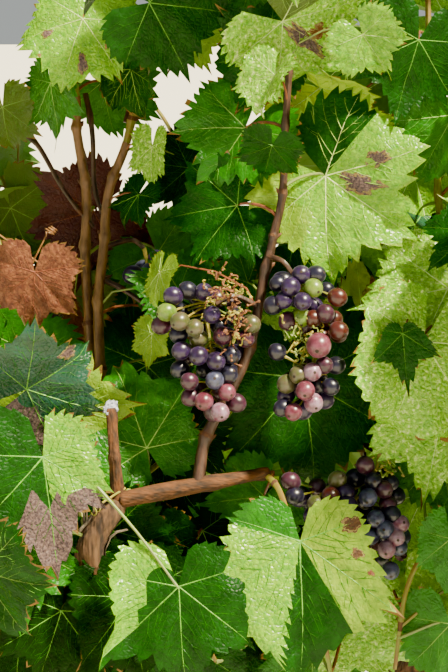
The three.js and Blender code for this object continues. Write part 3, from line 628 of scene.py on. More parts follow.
# The low front shoots: their looks, too, are partly painted sun and painted shade.
frontLows = {
    "front_left": {
        "on": "arm_front_left",
        "stem": [(-100, -156, 6), (-110, -122, 16), (-121, -78, 22), (-138, -18, 32), (-166, 60, 50),
                 (-200, 160, 80), (-222, 260, 110)],
        "leaves": [
            (-136, -91, -42, 172, 90, 2, -16), (-34, -188, -34, 176, 78, -6, 4, (-96, -112, -30)),
            (-148, -40, -14, 60, 62, -12, 24), (-152, -46, 20, 232, 50, 10, 10),
            (-134, -58, 14, 84, 68, 8, 18), (-160, -150, -26, 176, 66, 6, -20),
            (-182, -176, -56, 150, 60, 0, 20)],
        "looks": "deep deep teal mid gold mid edged",
    },
    "low_left": {
        "on": "arm_front_left", "stem": [(-94, -158, 10), (-64, -172, 36), (-34, -198, 50), (-6, -244, 56)],
        "leaves": [
            (-58, -148, 62, 205, 58, 8, 12), (-16, -146, 84, 160, 62, 10, 8), (-46, -216, 16, 196, 60, 6, -8),
            (4, -204, 66, 140, 60, 10, 0)],
        "looks": "shade shade deep shade",
    },
    "low_centre": {
        "on": "spur_right",
        "stem": [(32, -104, 18), (42, -118, 0), (52, -144, -10), (66, -184, -10), (78, -240, 10),
                 (92, -310, 30)],
        "leaves": [
            (57, -154, -26, 180, 98, -6, 2), (92, -212, 60, 196, 60, 0, 0), (30, -120, 52, 210, 52, 10, 8),
            (20, -146, 118, 170, 60, 10, 0)],
        "looks": "deep pale mid shade",
    },
    "stub_side": {
        "on": "arm_front_left",
        "stem": [(-76, -121, 8), (-52, -98, 42), (-4, -62, 62), (44, -14, 72), (84, 20, 84)],
        "leaves": [
            (-58, -84, 26, 338, 76, 10, 6), (-30, -70, 52, 190, 50, 6, 10), (59, -32, 58, 172, 92, 4, -6),
            (6, 0, 70, 150, 52, 10, 10), (-34, 34, 66, 330, 44, 20, 20), (104, 8, 66, 354, 54, 0, 0)],
        "looks": "mid shade deep mid mid yellow",
    },
    "low_right": {
        "on": "arm_front_right",
        "stem": [(214, -176, 40), (186, -170, 18), (156, -160, 8), (136, -192, 12), (128, -250, 20)],
        "leaves": [
            (150, -118, 52, 204, 76, 0, -14), (170, -152, -16, 180, 52, 6, 16),
            (134, -196, 34, 176, 66, 4, 0), (170, -216, 8, 170, 58, 10, 20)],
        "looks": "lit mid pale mid",
    },
}
# Canes on the other sides: where on its arm, heading, rise, length, droop. The low ones are all leaves.
sideShoots = {
    "right_up": ("arm_right", 0.9, 30, 84, 640, 0.08), "right_out": ("arm_right", 0.97, -16, 62, 520, 0.3),
    "front_out": ("arm_front_right", 0.97, -46, 70, 540, 0.25),
    "back_up": ("arm_back", 0.83, 96, 86, 660, 0.08), "back_left": ("arm_back", 0.97, 140, 62, 540, 0.25),
    "back_right": ("arm_back", 0.9, 36, 64, 560, 0.25), "left_out": ("arm_left", 0.83, 204, 62, 500, 0.3),
    "left_back": ("arm_left", 0.76, 146, 72, 600, 0.16),
}
sideLows = {
    "right_low": ("arm_right", 0.8, -38, 20, 270, 0.7),
    "front_low": ("arm_front_right", 0.83, -66, 14, 200, 0.8),
    "back_low": ("arm_back", 0.76, 92, 16, 250, 0.8), "left_low": ("arm_left", 0.69, 172, 18, 250, 0.7),
    "inner_back": ("arm_back", 0.69, 262, 56, 330, 0.1),
    "inner_right": ("arm_right", 0.76, 206, 66, 330, 0.1), "inner_left": ("arm_left", 0.62, 26, 34, 240, 0.1),
}
# Thin side canes that cross the clearing between the two tan canes: across, up, behind.
clearingCanes = [[(-150, 152, 130), (-138, 140, 126), (-120, 110, 124), (-98, 82, 122)],
                 [(-104, 182, 116), (-99, 150, 114), (-97, 116, 116), (-92, 92, 110)],
                 [(-90, 42, 108), (-72, 32, 104), (-50, 17, 98)],
                 [(-56, 232, 112), (-58, 212, 108), (-66, 186, 106), (-74, 160, 105)]]

canes = Heap()
shoots = Heap()


def jointed(heap, route, foot, tip, finish, first, joint="joint"):  # a cane with swollen joints
    form = caneSize["stout" if foot > caneSize["stoutOver"] else "thin"]
    gap, long = caneSize["internode"], caneSize["jointLength"]
    t = np.linspace(0, 1, max(12, int(route.length / form["step"])))
    run = t * route.length
    off = (run - first + gap / 2) % gap - gap / 2
    swell = np.exp(-(off / long) ** 2)
    order = np.floor((run - first) / gap + 0.5)
    zigzag = np.where(order % 2 == 0, 1.0, -1.0) * (0.5 - np.abs(off) / gap) * foot * caneSize["zigzag"]
    path = route.at(t)
    tangent = unit(np.gradient(path, axis=0))
    aside = unit(np.cross(tangent, viewDeep + 0.3 * worldUp))
    ease = np.clip(t * 8, 0, 1) * np.clip((1 - t) * 8, 0, 1)
    radius = (foot + (tip - foot) * t) * (1 + (caneSize["joint"] - 1) * swell)
    path = path + aside * (zigzag * ease)[:, None]
    finishes = np.where(swell > 0.93, cane[joint], cane[finish])
    tube(heap, path, radius, form["sides"], finishes, caneSize["ribs"])
    if foot <= caneSize["budsOver"]:
        return
    for i in range(1, len(t) - 1):  # a bud on each joint, on the sides by turns
        if swell[i] >= max(swell[i - 1], swell[i + 1]) and swell[i] > 0.8:
            out = aside[i] * (1 if order[i] % 2 else -1)
            lift = tangent[i] * (1 if tangent[i][2] > 0 else -1)
            bud = path[i] + out * radius[i] * 0.6 + np.outer([0, 0.35, 0.7, 1], out * 3.2 + lift * 4.2)
            tube(heap, bud, np.array(caneSize["bud"]) * foot / caneSize["foot"], 6, cane["joint"])


def sidePath(shoot, order):  # a place on a side cane by its share of the length
    on, share, heading, rise, length, droop = shoot
    foot = limbs[on].one(share)
    heading, rise = math.radians(heading), math.radians(rise)
    out = np.array([math.cos(heading), math.sin(heading), 0.0])
    aim = out * math.cos(rise) + worldUp * math.sin(rise)
    aside = np.array([-out[1], out[0], 0.0])

    def place(s):
        sag = (out * 0.5 - worldUp) * length * droop * s * s
        wave = aside * length * 0.05 * (math.sin(s * 7 + order) - math.sin(order))
        return foot + aim * length * s + sag + wave

    return place


for name, spur in spurs.items():
    limbs[name] = Route(spur["path"])

stems = {}  # the shoot of each mass of leaves, with the rows of its front leaves
for name, shoot in frontShoots.items():
    points = [seen(*place) for place in shoot["cane"]]
    if "along" in shoot:
        points.insert(0, limbs[shoot["on"]].one(shoot["along"]))
    limbs[f"cane_{name}"] = route = Route(points)
    jointed(canes, route, caneSize["foot"] * 1.06, caneSize["tip"] * 1.1, shoot["finish"], 46.0)
    stem = Route([points[-1], *(seen(*place) for place in shoot["stem"])])
    stems[name] = {"route": stem, "foot": caneSize["tip"], "leaves": shoot["leaves"], "looks": shoot["looks"]}
for name, low in frontLows.items():
    stem = Route([seen(*place) for place in low["stem"]])
    stems[name] = {"route": stem, "foot": caneSize["lowFoot"], "leaves": low["leaves"], "looks": low["looks"]}
for order, (name, shoot) in enumerate(sideShoots.items()):
    at = sidePath(shoot, order)
    bare = caneSize["bare"] / shoot[4]
    limbs[f"cane_{name}"] = route = Route([at(share * bare) for share in (0, 0.33, 0.66, 1)])
    jointed(canes, route, caneSize["foot"], caneSize["tip"], "tan" if order % 2 else "purple", 30.0)
    stem = Route([at(bare + (1 - bare) * share) for share in (0, 0.25, 0.5, 0.75, 1)])
    stems[name] = {"route": stem, "foot": caneSize["tip"], "leaves": [], "looks": ""}
for order, (name, shoot) in enumerate(sideLows.items()):
    at = sidePath(shoot, order + 3)
    stem = Route([at(share) for share in (0, 0.33, 0.66, 1)])
    stems[name] = {"route": stem, "foot": caneSize["lowFoot"], "leaves": [], "looks": ""}

for name, stem in stems.items():
    finish = "purple" if name == "centre" else "green"  # the cane behind the bunches is ripe to its top
    jointed(shoots, stem["route"], stem["foot"], caneSize["stemTip"], finish, 25.0, "redJoint")
for places in clearingCanes:
    jointed(shoots, Route([seen(*place) for place in places]), *caneSize["clearing"], "purple", 18.0)
for order, (name, spur) in enumerate(spurs.items()):
    place = limbPlace(limbs[name], *spur["ends"], spurSize["girth"], spurSize["seed"] + order)
    coat = woodMaterial(f"{name} bark, flaking", "5e3612 2a180a", 0.85, 4.0, 1.6, 1.2, spur["grain"])
    spurPiece = rolled(f"{name}_bark", spurSize["around"], spurSize["along"], place, coat)
    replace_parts(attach(spurPiece, "root"), name)

# The pruned stub: a slanting cut, a dished ring round its raised pith, dried whitish, with a torn rim.
cutSize = {"radius": 6.8, "thick": 2.4, "sides": 24, "slant": (52, 34, 0), "rim": 1.1, "dished": 0.7,
           "pith": 1.6, "raised": (0.4, 0, 0.6), "bevel": 0.2, "narrow": 0.78, "torn": 0.9}
cutPlace = limbs["spur_stub"].one(1.0)
bpy.ops.mesh.primitive_cylinder_add(
    vertices=cutSize["sides"], radius=cutSize["radius"] / 1000, depth=cutSize["thick"] / 1000,
    location=Vector(cutPlace / 1000), rotation=[math.radians(slant) for slant in cutSize["slant"]])
cutFace = bpy.context.object
cutFace.name = cutFace.data.name = "pruned_face"
bpy.ops.object.mode_set(mode="EDIT")
bpy.ops.mesh.select_mode(type="FACE")
bpy.ops.mesh.select_all(action="DESELECT")
bpy.ops.object.mode_set(mode="OBJECT")
for face in cutFace.data.polygons:
    face.select = face.normal.z > 0.9
bpy.ops.object.mode_set(mode="EDIT")
bpy.ops.mesh.inset(thickness=cutSize["rim"] / 1000)
bpy.ops.transform.translate(value=(0, 0, -cutSize["dished"] / 1000))
bpy.ops.mesh.inset(thickness=cutSize["pith"] / 1000)
bpy.ops.transform.translate(value=[part / 1000 for part in cutSize["raised"]])
bpy.ops.mesh.select_all(action="SELECT")
bpy.ops.mesh.bevel(offset=cutSize["bevel"] / 1000, segments=1)
bpy.ops.object.mode_set(mode="OBJECT")
for point in cutFace.data.vertices:  # torn fibres round the rim
    turn = math.atan2(point.co.y, point.co.x)
    torn = 1 + cutSize["torn"] * (0.09 * math.sin(5 * turn + 1) + 0.07 * math.sin(11 * turn))
    point.co.x *= torn * cutSize["narrow"]
    point.co.y *= torn
    point.co.z += cutSize["torn"] / 1000 * 0.6 * math.sin(7 * turn)
bpy.ops.object.transform_apply(location=True, rotation=True, scale=True)
cutFace.data.materials.append(barks["cut"])
bpy.ops.object.select_all(action="DESELECT")
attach(cutFace, "root")

caneNodes = [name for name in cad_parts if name.startswith("cane_")]
canePiece = canes.piece("canes_bark", caneMaterials)
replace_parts(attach(canePiece, "root"), *caneNodes)
print("canes made")

# Leaves

leafSize = {"reach": 88, "bow": 0.16, "petiole": 62, "step": 51, "turn": 2.4, "thick": 0.5, "vein": 0.006,
            "shrink": 0.42, "smallUnder": 46}
finer = {"between": 3, "shrink": 0.72, "petiole": 1.3, "turn": 0.77, "twist": 1.1,
         "twig": 78, "twigLeaves": 4, "twigReach": 46, "twigPetiole": 26, "twigShrink": 0.3}
veinAngles = (105, 51)  # the lower and upper side lobes, in degrees from the middle one
lobeReach = (0.76, 0.93, 1.0, 0.93, 0.76)
toothShape = ((-0.9, 0.0), (1.0, -0.3), (0.15, 0.0))  # height and lean of a valley, a tip and a shoulder
lobeTip = {"veined": 1.5, "plain": 1.6, "beside": 0.9, "number": 7}  # its tooth, those beside it, their draw
details = {
    "fine": {"rings": (0.08, 0.19, 0.31, 0.43, 0.55, 0.67, 0.78, 0.87, 0.94, 0.975, 1.0),
             "between": (19, 16, 13, 13, 16, 19), "tooth": 0.062, "veined": False, "ribs": True},
    "plain": {"rings": (0.2, 0.42, 0.64, 0.84, 1.0), "between": (5, 5, 4, 4, 5, 5), "tooth": 0.066,
              "veined": True, "ribs": False},
    "small": {"rings": (0.4, 0.75, 1.0), "between": (3, 3, 2, 2, 3, 3), "tooth": 0.07, "veined": False,
              "ribs": False},
}
# What each look is made of: blade, veins, margin, underside. The shade, deep, mid, lit and pale looks are
# partly lit and shaded copies of one green, painted shade and painted sunlight, which the lit ones carry
# to their lighter veins and paler undersides.
looks = {
    "shade": "shade veinDark shade under", "deep": "deep veinDark deep under", "mid": "mid veinMid mid under",
    "lit": "lit veinLight gold underPale", "pale": "pale veinLight lit underPale",
    "gold": "gold veinLight yellow underPale", "yellow": "yellow veinLight brown underPale",
    "teal": "teal veinDark deep under", "olive": "olive veinMid brown under",
    "edged": "deep veinMid brown under", "litEdged": "lit veinLight brown underPale",
    "maroon": "maroon veinRed maroon rust", "rust": "rust veinRed brown rust",
}
looks = {name: dict(zip(("blade", "vein", "margin", "under"), row.split())) for name, row in looks.items()}
# Looks the ruled leaves are dealt at random, painted shade and painted sunlight among them.
ruledLooks = ("deep mid lit mid deep pale litEdged deep mid gold lit olive shade mid teal lit edged mid "
              "yellow deep lit maroon pale mid").split()

# Front leaves with a shape, tints or painted light of their own. A zone is a wedge of the blade: from and to
# angle, from and to share of the reach, finish. The lit and mid zones are painted sunlight, the deep ones
# painted shade, the gold ones a yellow-green that is partly the leaf's own and partly painted sunlight, and the
# plum and rust ones tints of the leaf. A curled lobe's underside can take painted sunlight too. A blotch is an
# angle, a share, half its length and half its width, finish. Angles are counter-clockwise from the middle
# lobe as the front shows it. Lobes run from -105 to 105.
frontForms = {
    ("centre", 1): {"fold": 0.3},
    ("centre", 3): {"fold": 0.6},
    # Painted shade on the folded lobes of one side, painted sunlight on the outer lobes of the other.
    ("centre", 4): {"zones": [(84, 180, 0, 1, "deep"), (-180, -70, 0.5, 1, "gold")], "fold": 0.16,
                    "blotches": [(24, 0.34, 17, 8, "plum"), (52, 0.50, 10, 6, "plum")]},
    ("centre", 5): {"fold": 0.3, "blotches": [(0, 0.5, 12, 6, "brown")]},
    ("centre", 7): {"zones": [(70, 180, 0, 1, "olive")], "fold": 0.12,
                    "blotches": [(-6, 0.36, 22, 6, "plum"), (18, 0.5, 12, 7, "rust")]},
    ("left_a", 0): {"fold": 0.05, "blotches": [(20, 0.6, 9, 4, "plum"), (-48, 0.5, 5, 3, "plum"),
                                               (-30, 0.78, 4, 3, "brown")]},
    ("left_a", 5): {"zones": [(40, 180, 0, 1, "olive")], "blotches": [(-30, 0.6, 14, 10, "plum")]},
    ("front_right", 0): {"lobes": (0.34, 0.76, 1.0, 0.78, 0.30), "basal": 0.16, "fold": 0.16},
    ("front_right", 2): {"fold": 0.14, "blotches": [(60, 0.66, 20, 7, "plum"), (66, 0.42, 9, 4, "plum")],
                         "lobes": (0.66, 0.72, 0.94, 0.95, 0.80), "notch": 0.05, "teeth": 0.7},
    # Painted sunlight on the half right of the middle vein; the plum wedges are its own tint.
    ("front_left", 0): {"zones": [(4, 180, 0, 1, "lit"), (-28, 16, 0.46, 1, "plum"),
                                  (16, 48, 0.66, 1, "plum")],
                        "lobes": (0.72, 0.92, 1.0, 0.66, 0.44), "basal": 0.34, "fold": 0.12, "teeth": 1.3},
    # Painted sunlight on the outer lobes of one side and under the curled one.
    ("front_left", 1): {"zones": [(-180, -66, 0.42, 1, "lit"), (-66, -49, 0.56, 1, "lit")],
                        "curls": {"low": (0.40, 0.20, 1)}, "fold": 0.08,
                        "curlUnder": "lit", "lobes": (0.72, 0.95, 1.0, 0.92, 0.60), "basal": 0.36},
    ("front_left", 2): {"zones": [(-180, -96, 0.3, 1, "plum")], "blotches": [(10, 0.7, 8, 5, "plum")],
                        "fold": 0.2},
    ("front_left", 4): {"fold": 0.12, "lobes": (0.5, 0.8, 1.0, 0.8, 0.6)},
    # Painted sunlight on the left lobes, the deep middle as painted shade, the yellow-green right partly
    # painted sun.
    ("low_centre", 0): {"zones": [(-180, -104, 0, 1, "mid"), (-104, -8, 0, 1, "lit"),
                                  (30, 180, 0.06, 1, "gold")],
                        "fold": 0.16, "basal": 0.26, "lobes": (0.52, 0.90, 1.0, 0.84, 0.50),
                        "blotches": [(108, 0.42, 10, 6, "scorch"), (78, 0.44, 5, 4, "scorch"),
                                     (66, 0.58, 3, 2, "rust"), (-88, 0.80, 10, 4, "scorch"),
                                     (-70, 0.76, 6, 4, "scorch"), (38, 0.80, 5, 3, "scorch")]},
    ("stub_side", 0): {"fold": 0.12, "lobes": (0.55, 0.80, 1.0, 0.80, 0.60), "basal": 0.34},
    ("stub_side", 2): {"fold": 0.1},
    ("stub_side", 5): {"zones": [(-70, -14, 0.3, 1, "rust")], "blotches": [(-30, 0.5, 14, 9, "blush")]},
    ("low_right", 0): {"fold": 0.1, "blotches": [(-20, 0.5, 6, 4, "brown")]},
    ("low_right", 1): {"fold": 0.14, "lobes": (0.45, 0.62, 1.0, 0.90, 0.70)},
}
# Leaves that close the view behind the bunches and before the arm, listed as the front ones are.
deeperLeaves = {
    "left_b": [(-70, 36, 196, 200, 72, 12, 16), (-34, 4, 214, 166, 74, 6, -14),
               (-92, 66, 236, 148, 66, 16, 20), (-22, 58, 236, 196, 66, 10, 8),
               (-58, -22, 176, 184, 70, 4, 10), (-48, 48, 20, 196, 30, 0, 62), (-54, 2, 24, 186, 26, 0, 48)],
    "left_a": [(-140, 30, 250, 176, 74, 10, -12), (-160, 96, 230, 160, 64, 14, 22),
               (-120, 4, 210, 214, 66, 8, 14), (-150, -10, 120, 196, 62, 8, -18)],
    "front_left": [(-122, -168, 14, 184, 62, 4, 10), (-122, -206, 4, 196, 62, 8, -14),
                   (-142, -112, 16, 140, 58, 0, 12), (-152, -214, 24, 186, 66, 6, 8),
                   (-92, -222, 22, 176, 60, 4, 4), (-142, 48, 22, 184, 48, 10, 8)],
    "low_left": [(-70, -196, 6, 170, 68, 6, -12), (-84, -146, 24, 150, 56, 8, 16),
                 (-52, -84, 74, 196, 62, 8, 8), (-24, -232, 60, 176, 60, 6, 10)],
    "low_centre": [(36, -226, 84, 186, 66, 6, -8), (-4, -176, 110, 170, 70, 6, 8),
                   (66, -232, 66, 180, 56, 4, 4)],
    "low_right": [(164, -86, 40, 170, 64, 8, 10), (120, -180, 60, 190, 62, 10, -10)],
    "centre": [(84, 40, 96, 176, 66, 8, 10), (20, 24, 90, 200, 60, 8, -8), (40, 26, 50, 172, 38, 8, 16)],
}
# Their looks are partly tints and partly painted light: shade, deep and mid as painted shade, lit as painted
# sunlight.
deeperLooks = {"left_b": "deep shade maroon shade deep gold gold", "left_a": "maroon olive rust mid",
               "front_left": "deep shade mid shade shade rust", "low_left": "shade deep shade deep",
               "low_centre": "deep shade mid", "low_right": "mid gold", "centre": "lit mid lit"}
# Where ruled leaves would hide the view of the front: left, right, low, high, and how far behind the fruit.
clearings = [(-178, 178, -262, 262, 85), (-200, -62, -10, 150, 175), (-128, -22, 84, 214, 900),
             (-180, -148, 186, 240, 900)]


def frontLeaf(row, key, index, look, form):
    across, upwards, behind, clock, reach, lean, roll = row[:7]
    turn = math.radians(clock)
    tip = viewUp * math.cos(turn) + viewAcross * math.sin(turn)
    normal = -viewDeep
    side = np.cross(normal, tip)
    tip, normal = turned(tip, side, lean), turned(normal, side, lean)
    normal = turned(normal, tip, roll)
    bend = seen(*row[7]) if len(row) > 7 else None
    return {"root": seen(across, upwards, behind), "tip": tip, "normal": normal, "reach": reach, "key": key,
            "index": index, "look": look, "bend": bend, "front": True, **form}


def ruledLeaf(at, along, turn, key, draw, small, petiole, reach):
    side = unit(np.cross(along, outward(at)))
    third = np.cross(side, along)
    turn = turn + 0.5 * swing(key, draw, 1)
    rise = 0.25 + 0.3 * swing(key, draw, 2)
    spread = unit(side * math.cos(turn) + third * math.sin(turn) + worldUp * rise)
    root = at + spread * petiole * small * (0.75 + 0.4 * dice(key, draw, 3))
    normal = unit(outward(root) * 0.6 + worldUp * 0.6 + swings(key, draw, 4) * 0.5)
    hang = spread * 0.6 - worldUp * 0.8
    reach = reach * small * (0.8 + 0.3 * dice(key, draw, 7))
    look = ruledLooks[int(dice(key, draw, 8) * len(ruledLooks))]
    return {"root": root, "tip": unit(hang - normal * (hang @ normal)), "normal": normal, "reach": reach,
            "stalkFrom": at, "key": key, "index": draw, "look": look}


def hidesTheFront(root, reach):
    away = root - fruitCentre
    behind = away @ viewDeep
    spread = 1 + behind / viewDistance
    across, upwards = away @ viewAcross / spread, away @ viewUp / spread
    edge = reach * 0.6
    return any(behind < depth and left - edge < across < right + edge and low - edge < upwards < high + edge
               for left, right, low, high, depth in clearings)


def solidPoints(name):
    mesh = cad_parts[name].data
    flat = np.empty(len(mesh.vertices) * 3, np.float32)
    mesh.vertices.foreach_get("co", flat)
    tree = kdtree.KDTree(len(mesh.vertices))
    for i, place in enumerate(flat.reshape(-1, 3)):
        tree.insert(Vector(place), i)
    tree.balance()
    return tree


def inSolid(leaf, tree):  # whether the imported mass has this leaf, by the point of its middle lobe
    point = leaf["root"] + leaf["tip"] * leaf["reach"] - leaf["normal"] * leafSize["bow"] * leaf["reach"]
    return tree.find(Vector(point / 1000))[2] < 0.001


boxLow, boxHigh = np.array(cadBox[0]) * 1000, np.array(cadBox[1]) * 1000


def insideBox(leaf):  # room for a leaf's whole outline, and for its stalk
    side = np.cross(leaf["normal"], leaf["tip"]) * leaf["reach"] * 0.8
    middle = leaf["root"] + leaf["tip"] * leaf["reach"] * 0.4
    ends = np.array([leaf["root"], leaf["root"] + leaf["tip"] * leaf["reach"], middle + side, middle - side])
    return bool((ends > boxLow).all() and (ends < boxHigh).all() and ends[:, 2].min() > 120)


def inView(leaf):
    return hidesTheFront(leaf["root"], leaf["reach"])


def shrunk(t):  # leaves are smaller towards the end of a shoot
    return 1 - leafSize["shrink"] * t * t


def packedLeaf(route, key, i, count):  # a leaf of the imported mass, by the rule that the solids follow
    t = (i + 0.55) / count
    at = route.chord(t, len(route.points))
    return ruledLeaf(at, route.along(t), i * leafSize["turn"], key, i, shrunk(t), leafSize["petiole"],
                     leafSize["reach"])


def betweenLeaf(route, key, i, count):  # a smaller leaf between those
    t = (i + 0.3) / count
    at = route.chord(t, len(route.points))
    turn = i * finer["turn"] * leafSize["turn"] + finer["twist"]
    petiole = leafSize["petiole"] * finer["petiole"]
    return ruledLeaf(at, route.along(t), turn, key, 200 + i, shrunk(t) * finer["shrink"], petiole,
                     leafSize["reach"])


def sideTwig(route, key, i, count):  # a twig over a leaf, or nothing where it has no room
    base = route.one((i + 0.62) / count)
    out = unit(outward(base) * 0.5 + worldUp * swing(key, i, 21) * 0.6 + swings(key, i, 22) * 0.8)
    length = finer["twig"] * (0.7 + 0.6 * dice(key, i, 25))
    end = base + out * length
    if hidesTheFront(end, 40) or (end > boxHigh - 30).any() or (end < boxLow + 30).any():
        return None
    return Route([base, base + out * length * 0.5 + worldUp * 6, end])


def twigLeaf(twig, key, i, k):
    share = (k + 0.8) / finer["twigLeaves"]
    return ruledLeaf(twig.one(share), twig.along(share), k * leafSize["turn"], key, 400 + i * 10 + k,
                     1 - finer["twigShrink"] * share, finer["twigPetiole"], finer["twigReach"])


masses = {}
laterals = []
for order, (name, stem) in enumerate(stems.items()):
    key, route = order + 1, stem["route"]
    leaves = [frontLeaf(row, key, 50 + i, look, frontForms.get((name, i), {}))
              for i, (row, look) in enumerate(zip(stem["leaves"], stem["looks"].split()))]
    deeper = zip(deeperLeaves.get(name, []), deeperLooks.get(name, "").split())
    leaves += [frontLeaf(row, key, 80 + i, look, {}) for i, (row, look) in enumerate(deeper)]
    tree = solidPoints(f"foliage_{name}")
    count = math.floor(route.length / leafSize["step"])
    packed = [packedLeaf(route, key, i, count) for i in range(count)]
    packed = [leaf for leaf in packed if not inView(leaf) and inSolid(leaf, tree)]
    extra = [betweenLeaf(route, key, i, count * finer["between"]) for i in range(count * finer["between"])]
    for i in range(count):
        twig = sideTwig(route, key, i, count)
        if twig:
            laterals.append(twig)
            extra += [twigLeaf(twig, key, i, k) for k in range(finer["twigLeaves"])]
    extra = [leaf for leaf in extra if insideBox(leaf) and not inView(leaf)]
    masses[name] = {"fine": leaves,
                    "plain": packed + [leaf for leaf in extra if leaf["reach"] > leafSize["smallUnder"]],
                    "small": [leaf for leaf in extra if leaf["reach"] <= leafSize["smallUnder"]]}
print("leaves placed:", {size: sum(len(mass[size]) for mass in masses.values()) for size in details})


def columnsOf(between, veined):
    # Each column: sector, share of it, whether a vein stands below and above, its tooth, the tooth's number.
    columns = [(0, 0.0, 0, 0, 0.0, 0)]
    beside, number = lobeTip["beside"], lobeTip["number"]
    for sector, count in enumerate(between):
        for k in range(count):
            fromTip = {0: count - 1 - k, 5: k}.get(sector, min(k, count - 1 - k))
            height, lean = toothShape[fromTip % 3]
            lean = lean if fromTip == k and sector else -lean
            sides = (int(veined and sector > 0), int(veined and sector < 5))
            columns.append((sector, (k + 1 + lean) / (count + 1), *sides, height, k // 3))
        if sector < 5 and veined:
            columns += [(sector, 1.0, 0, 1, beside, number), (sector, 1.0, 0, 0, lobeTip["veined"], number),
                        (sector + 1, 0.0, 1, 0, beside, number)]
        elif sector < 5:
            columns.append((sector, 1.0, 0, 0, lobeTip["plain"], number))
    columns.append((5, 1.0, 0, 0, 0.0, 0))
    return tuple(np.array(part) for part in zip(*columns))


def fitted(values, like):  # one value for each leaf, shaped to go with an array of places
    return values.reshape(-1, *([1] * (like.ndim - 1)))


def curledOver(out, up, start, tight, way):  # past a line on the blade, a place rolled up or down
    past = np.maximum(0, out - start)
    curl, height = past / tight, way * up
    return (np.where(past > 0, start + (tight - height) * np.sin(curl), out),
            np.where(past > 0, way * (tight - (tight - height) * np.cos(curl)), up))


veinSwing = (5, 4)  # how far the lower and upper side lobes turn off their angles, in degrees
stalkNotch = {"least": 9, "more": 9}  # half the gap between the lobes at the stalk, in degrees
bowDraw = {"least": 0.08, "more": 0.16, "frontLess": 0.08, "number": 38}
# What else a leaf draws for itself: the least, how much more there may be, and the number of the draw.
bladeDraws = {"lowerNotch": (0.10, 0.16, 34), "upperNotch": (0.14, 0.20, 35), "basal": (0.42, 0.14, 36),
              "fold": (-0.05, 0.34, 37), "pillow": (0.030, 0.040, 39), "ripple": (0.030, 0.062, 40),
              "phase": (0, 6.28, 42), "saddle": (0, 0.05, 43), "saddlePhase": (0, 6.28, 44),
              "crumple": (0.020, 0.014, 45)}
# Where a side or the tip curls over and how tightly, as such draws, then the share that curls up.
curlDraws = {"low": ((0.34, 0.5, 46), (0.35, 0.8, 47), (0.5, 48)),
             "high": ((0.34, 0.5, 50), (0.35, 0.8, 51), (0.5, 52))}
tipDraws = {"start": (0.45, 0.4, 54), "tight": (0.5, 0.9, 55), "downShare": 0.7, "number": 56}


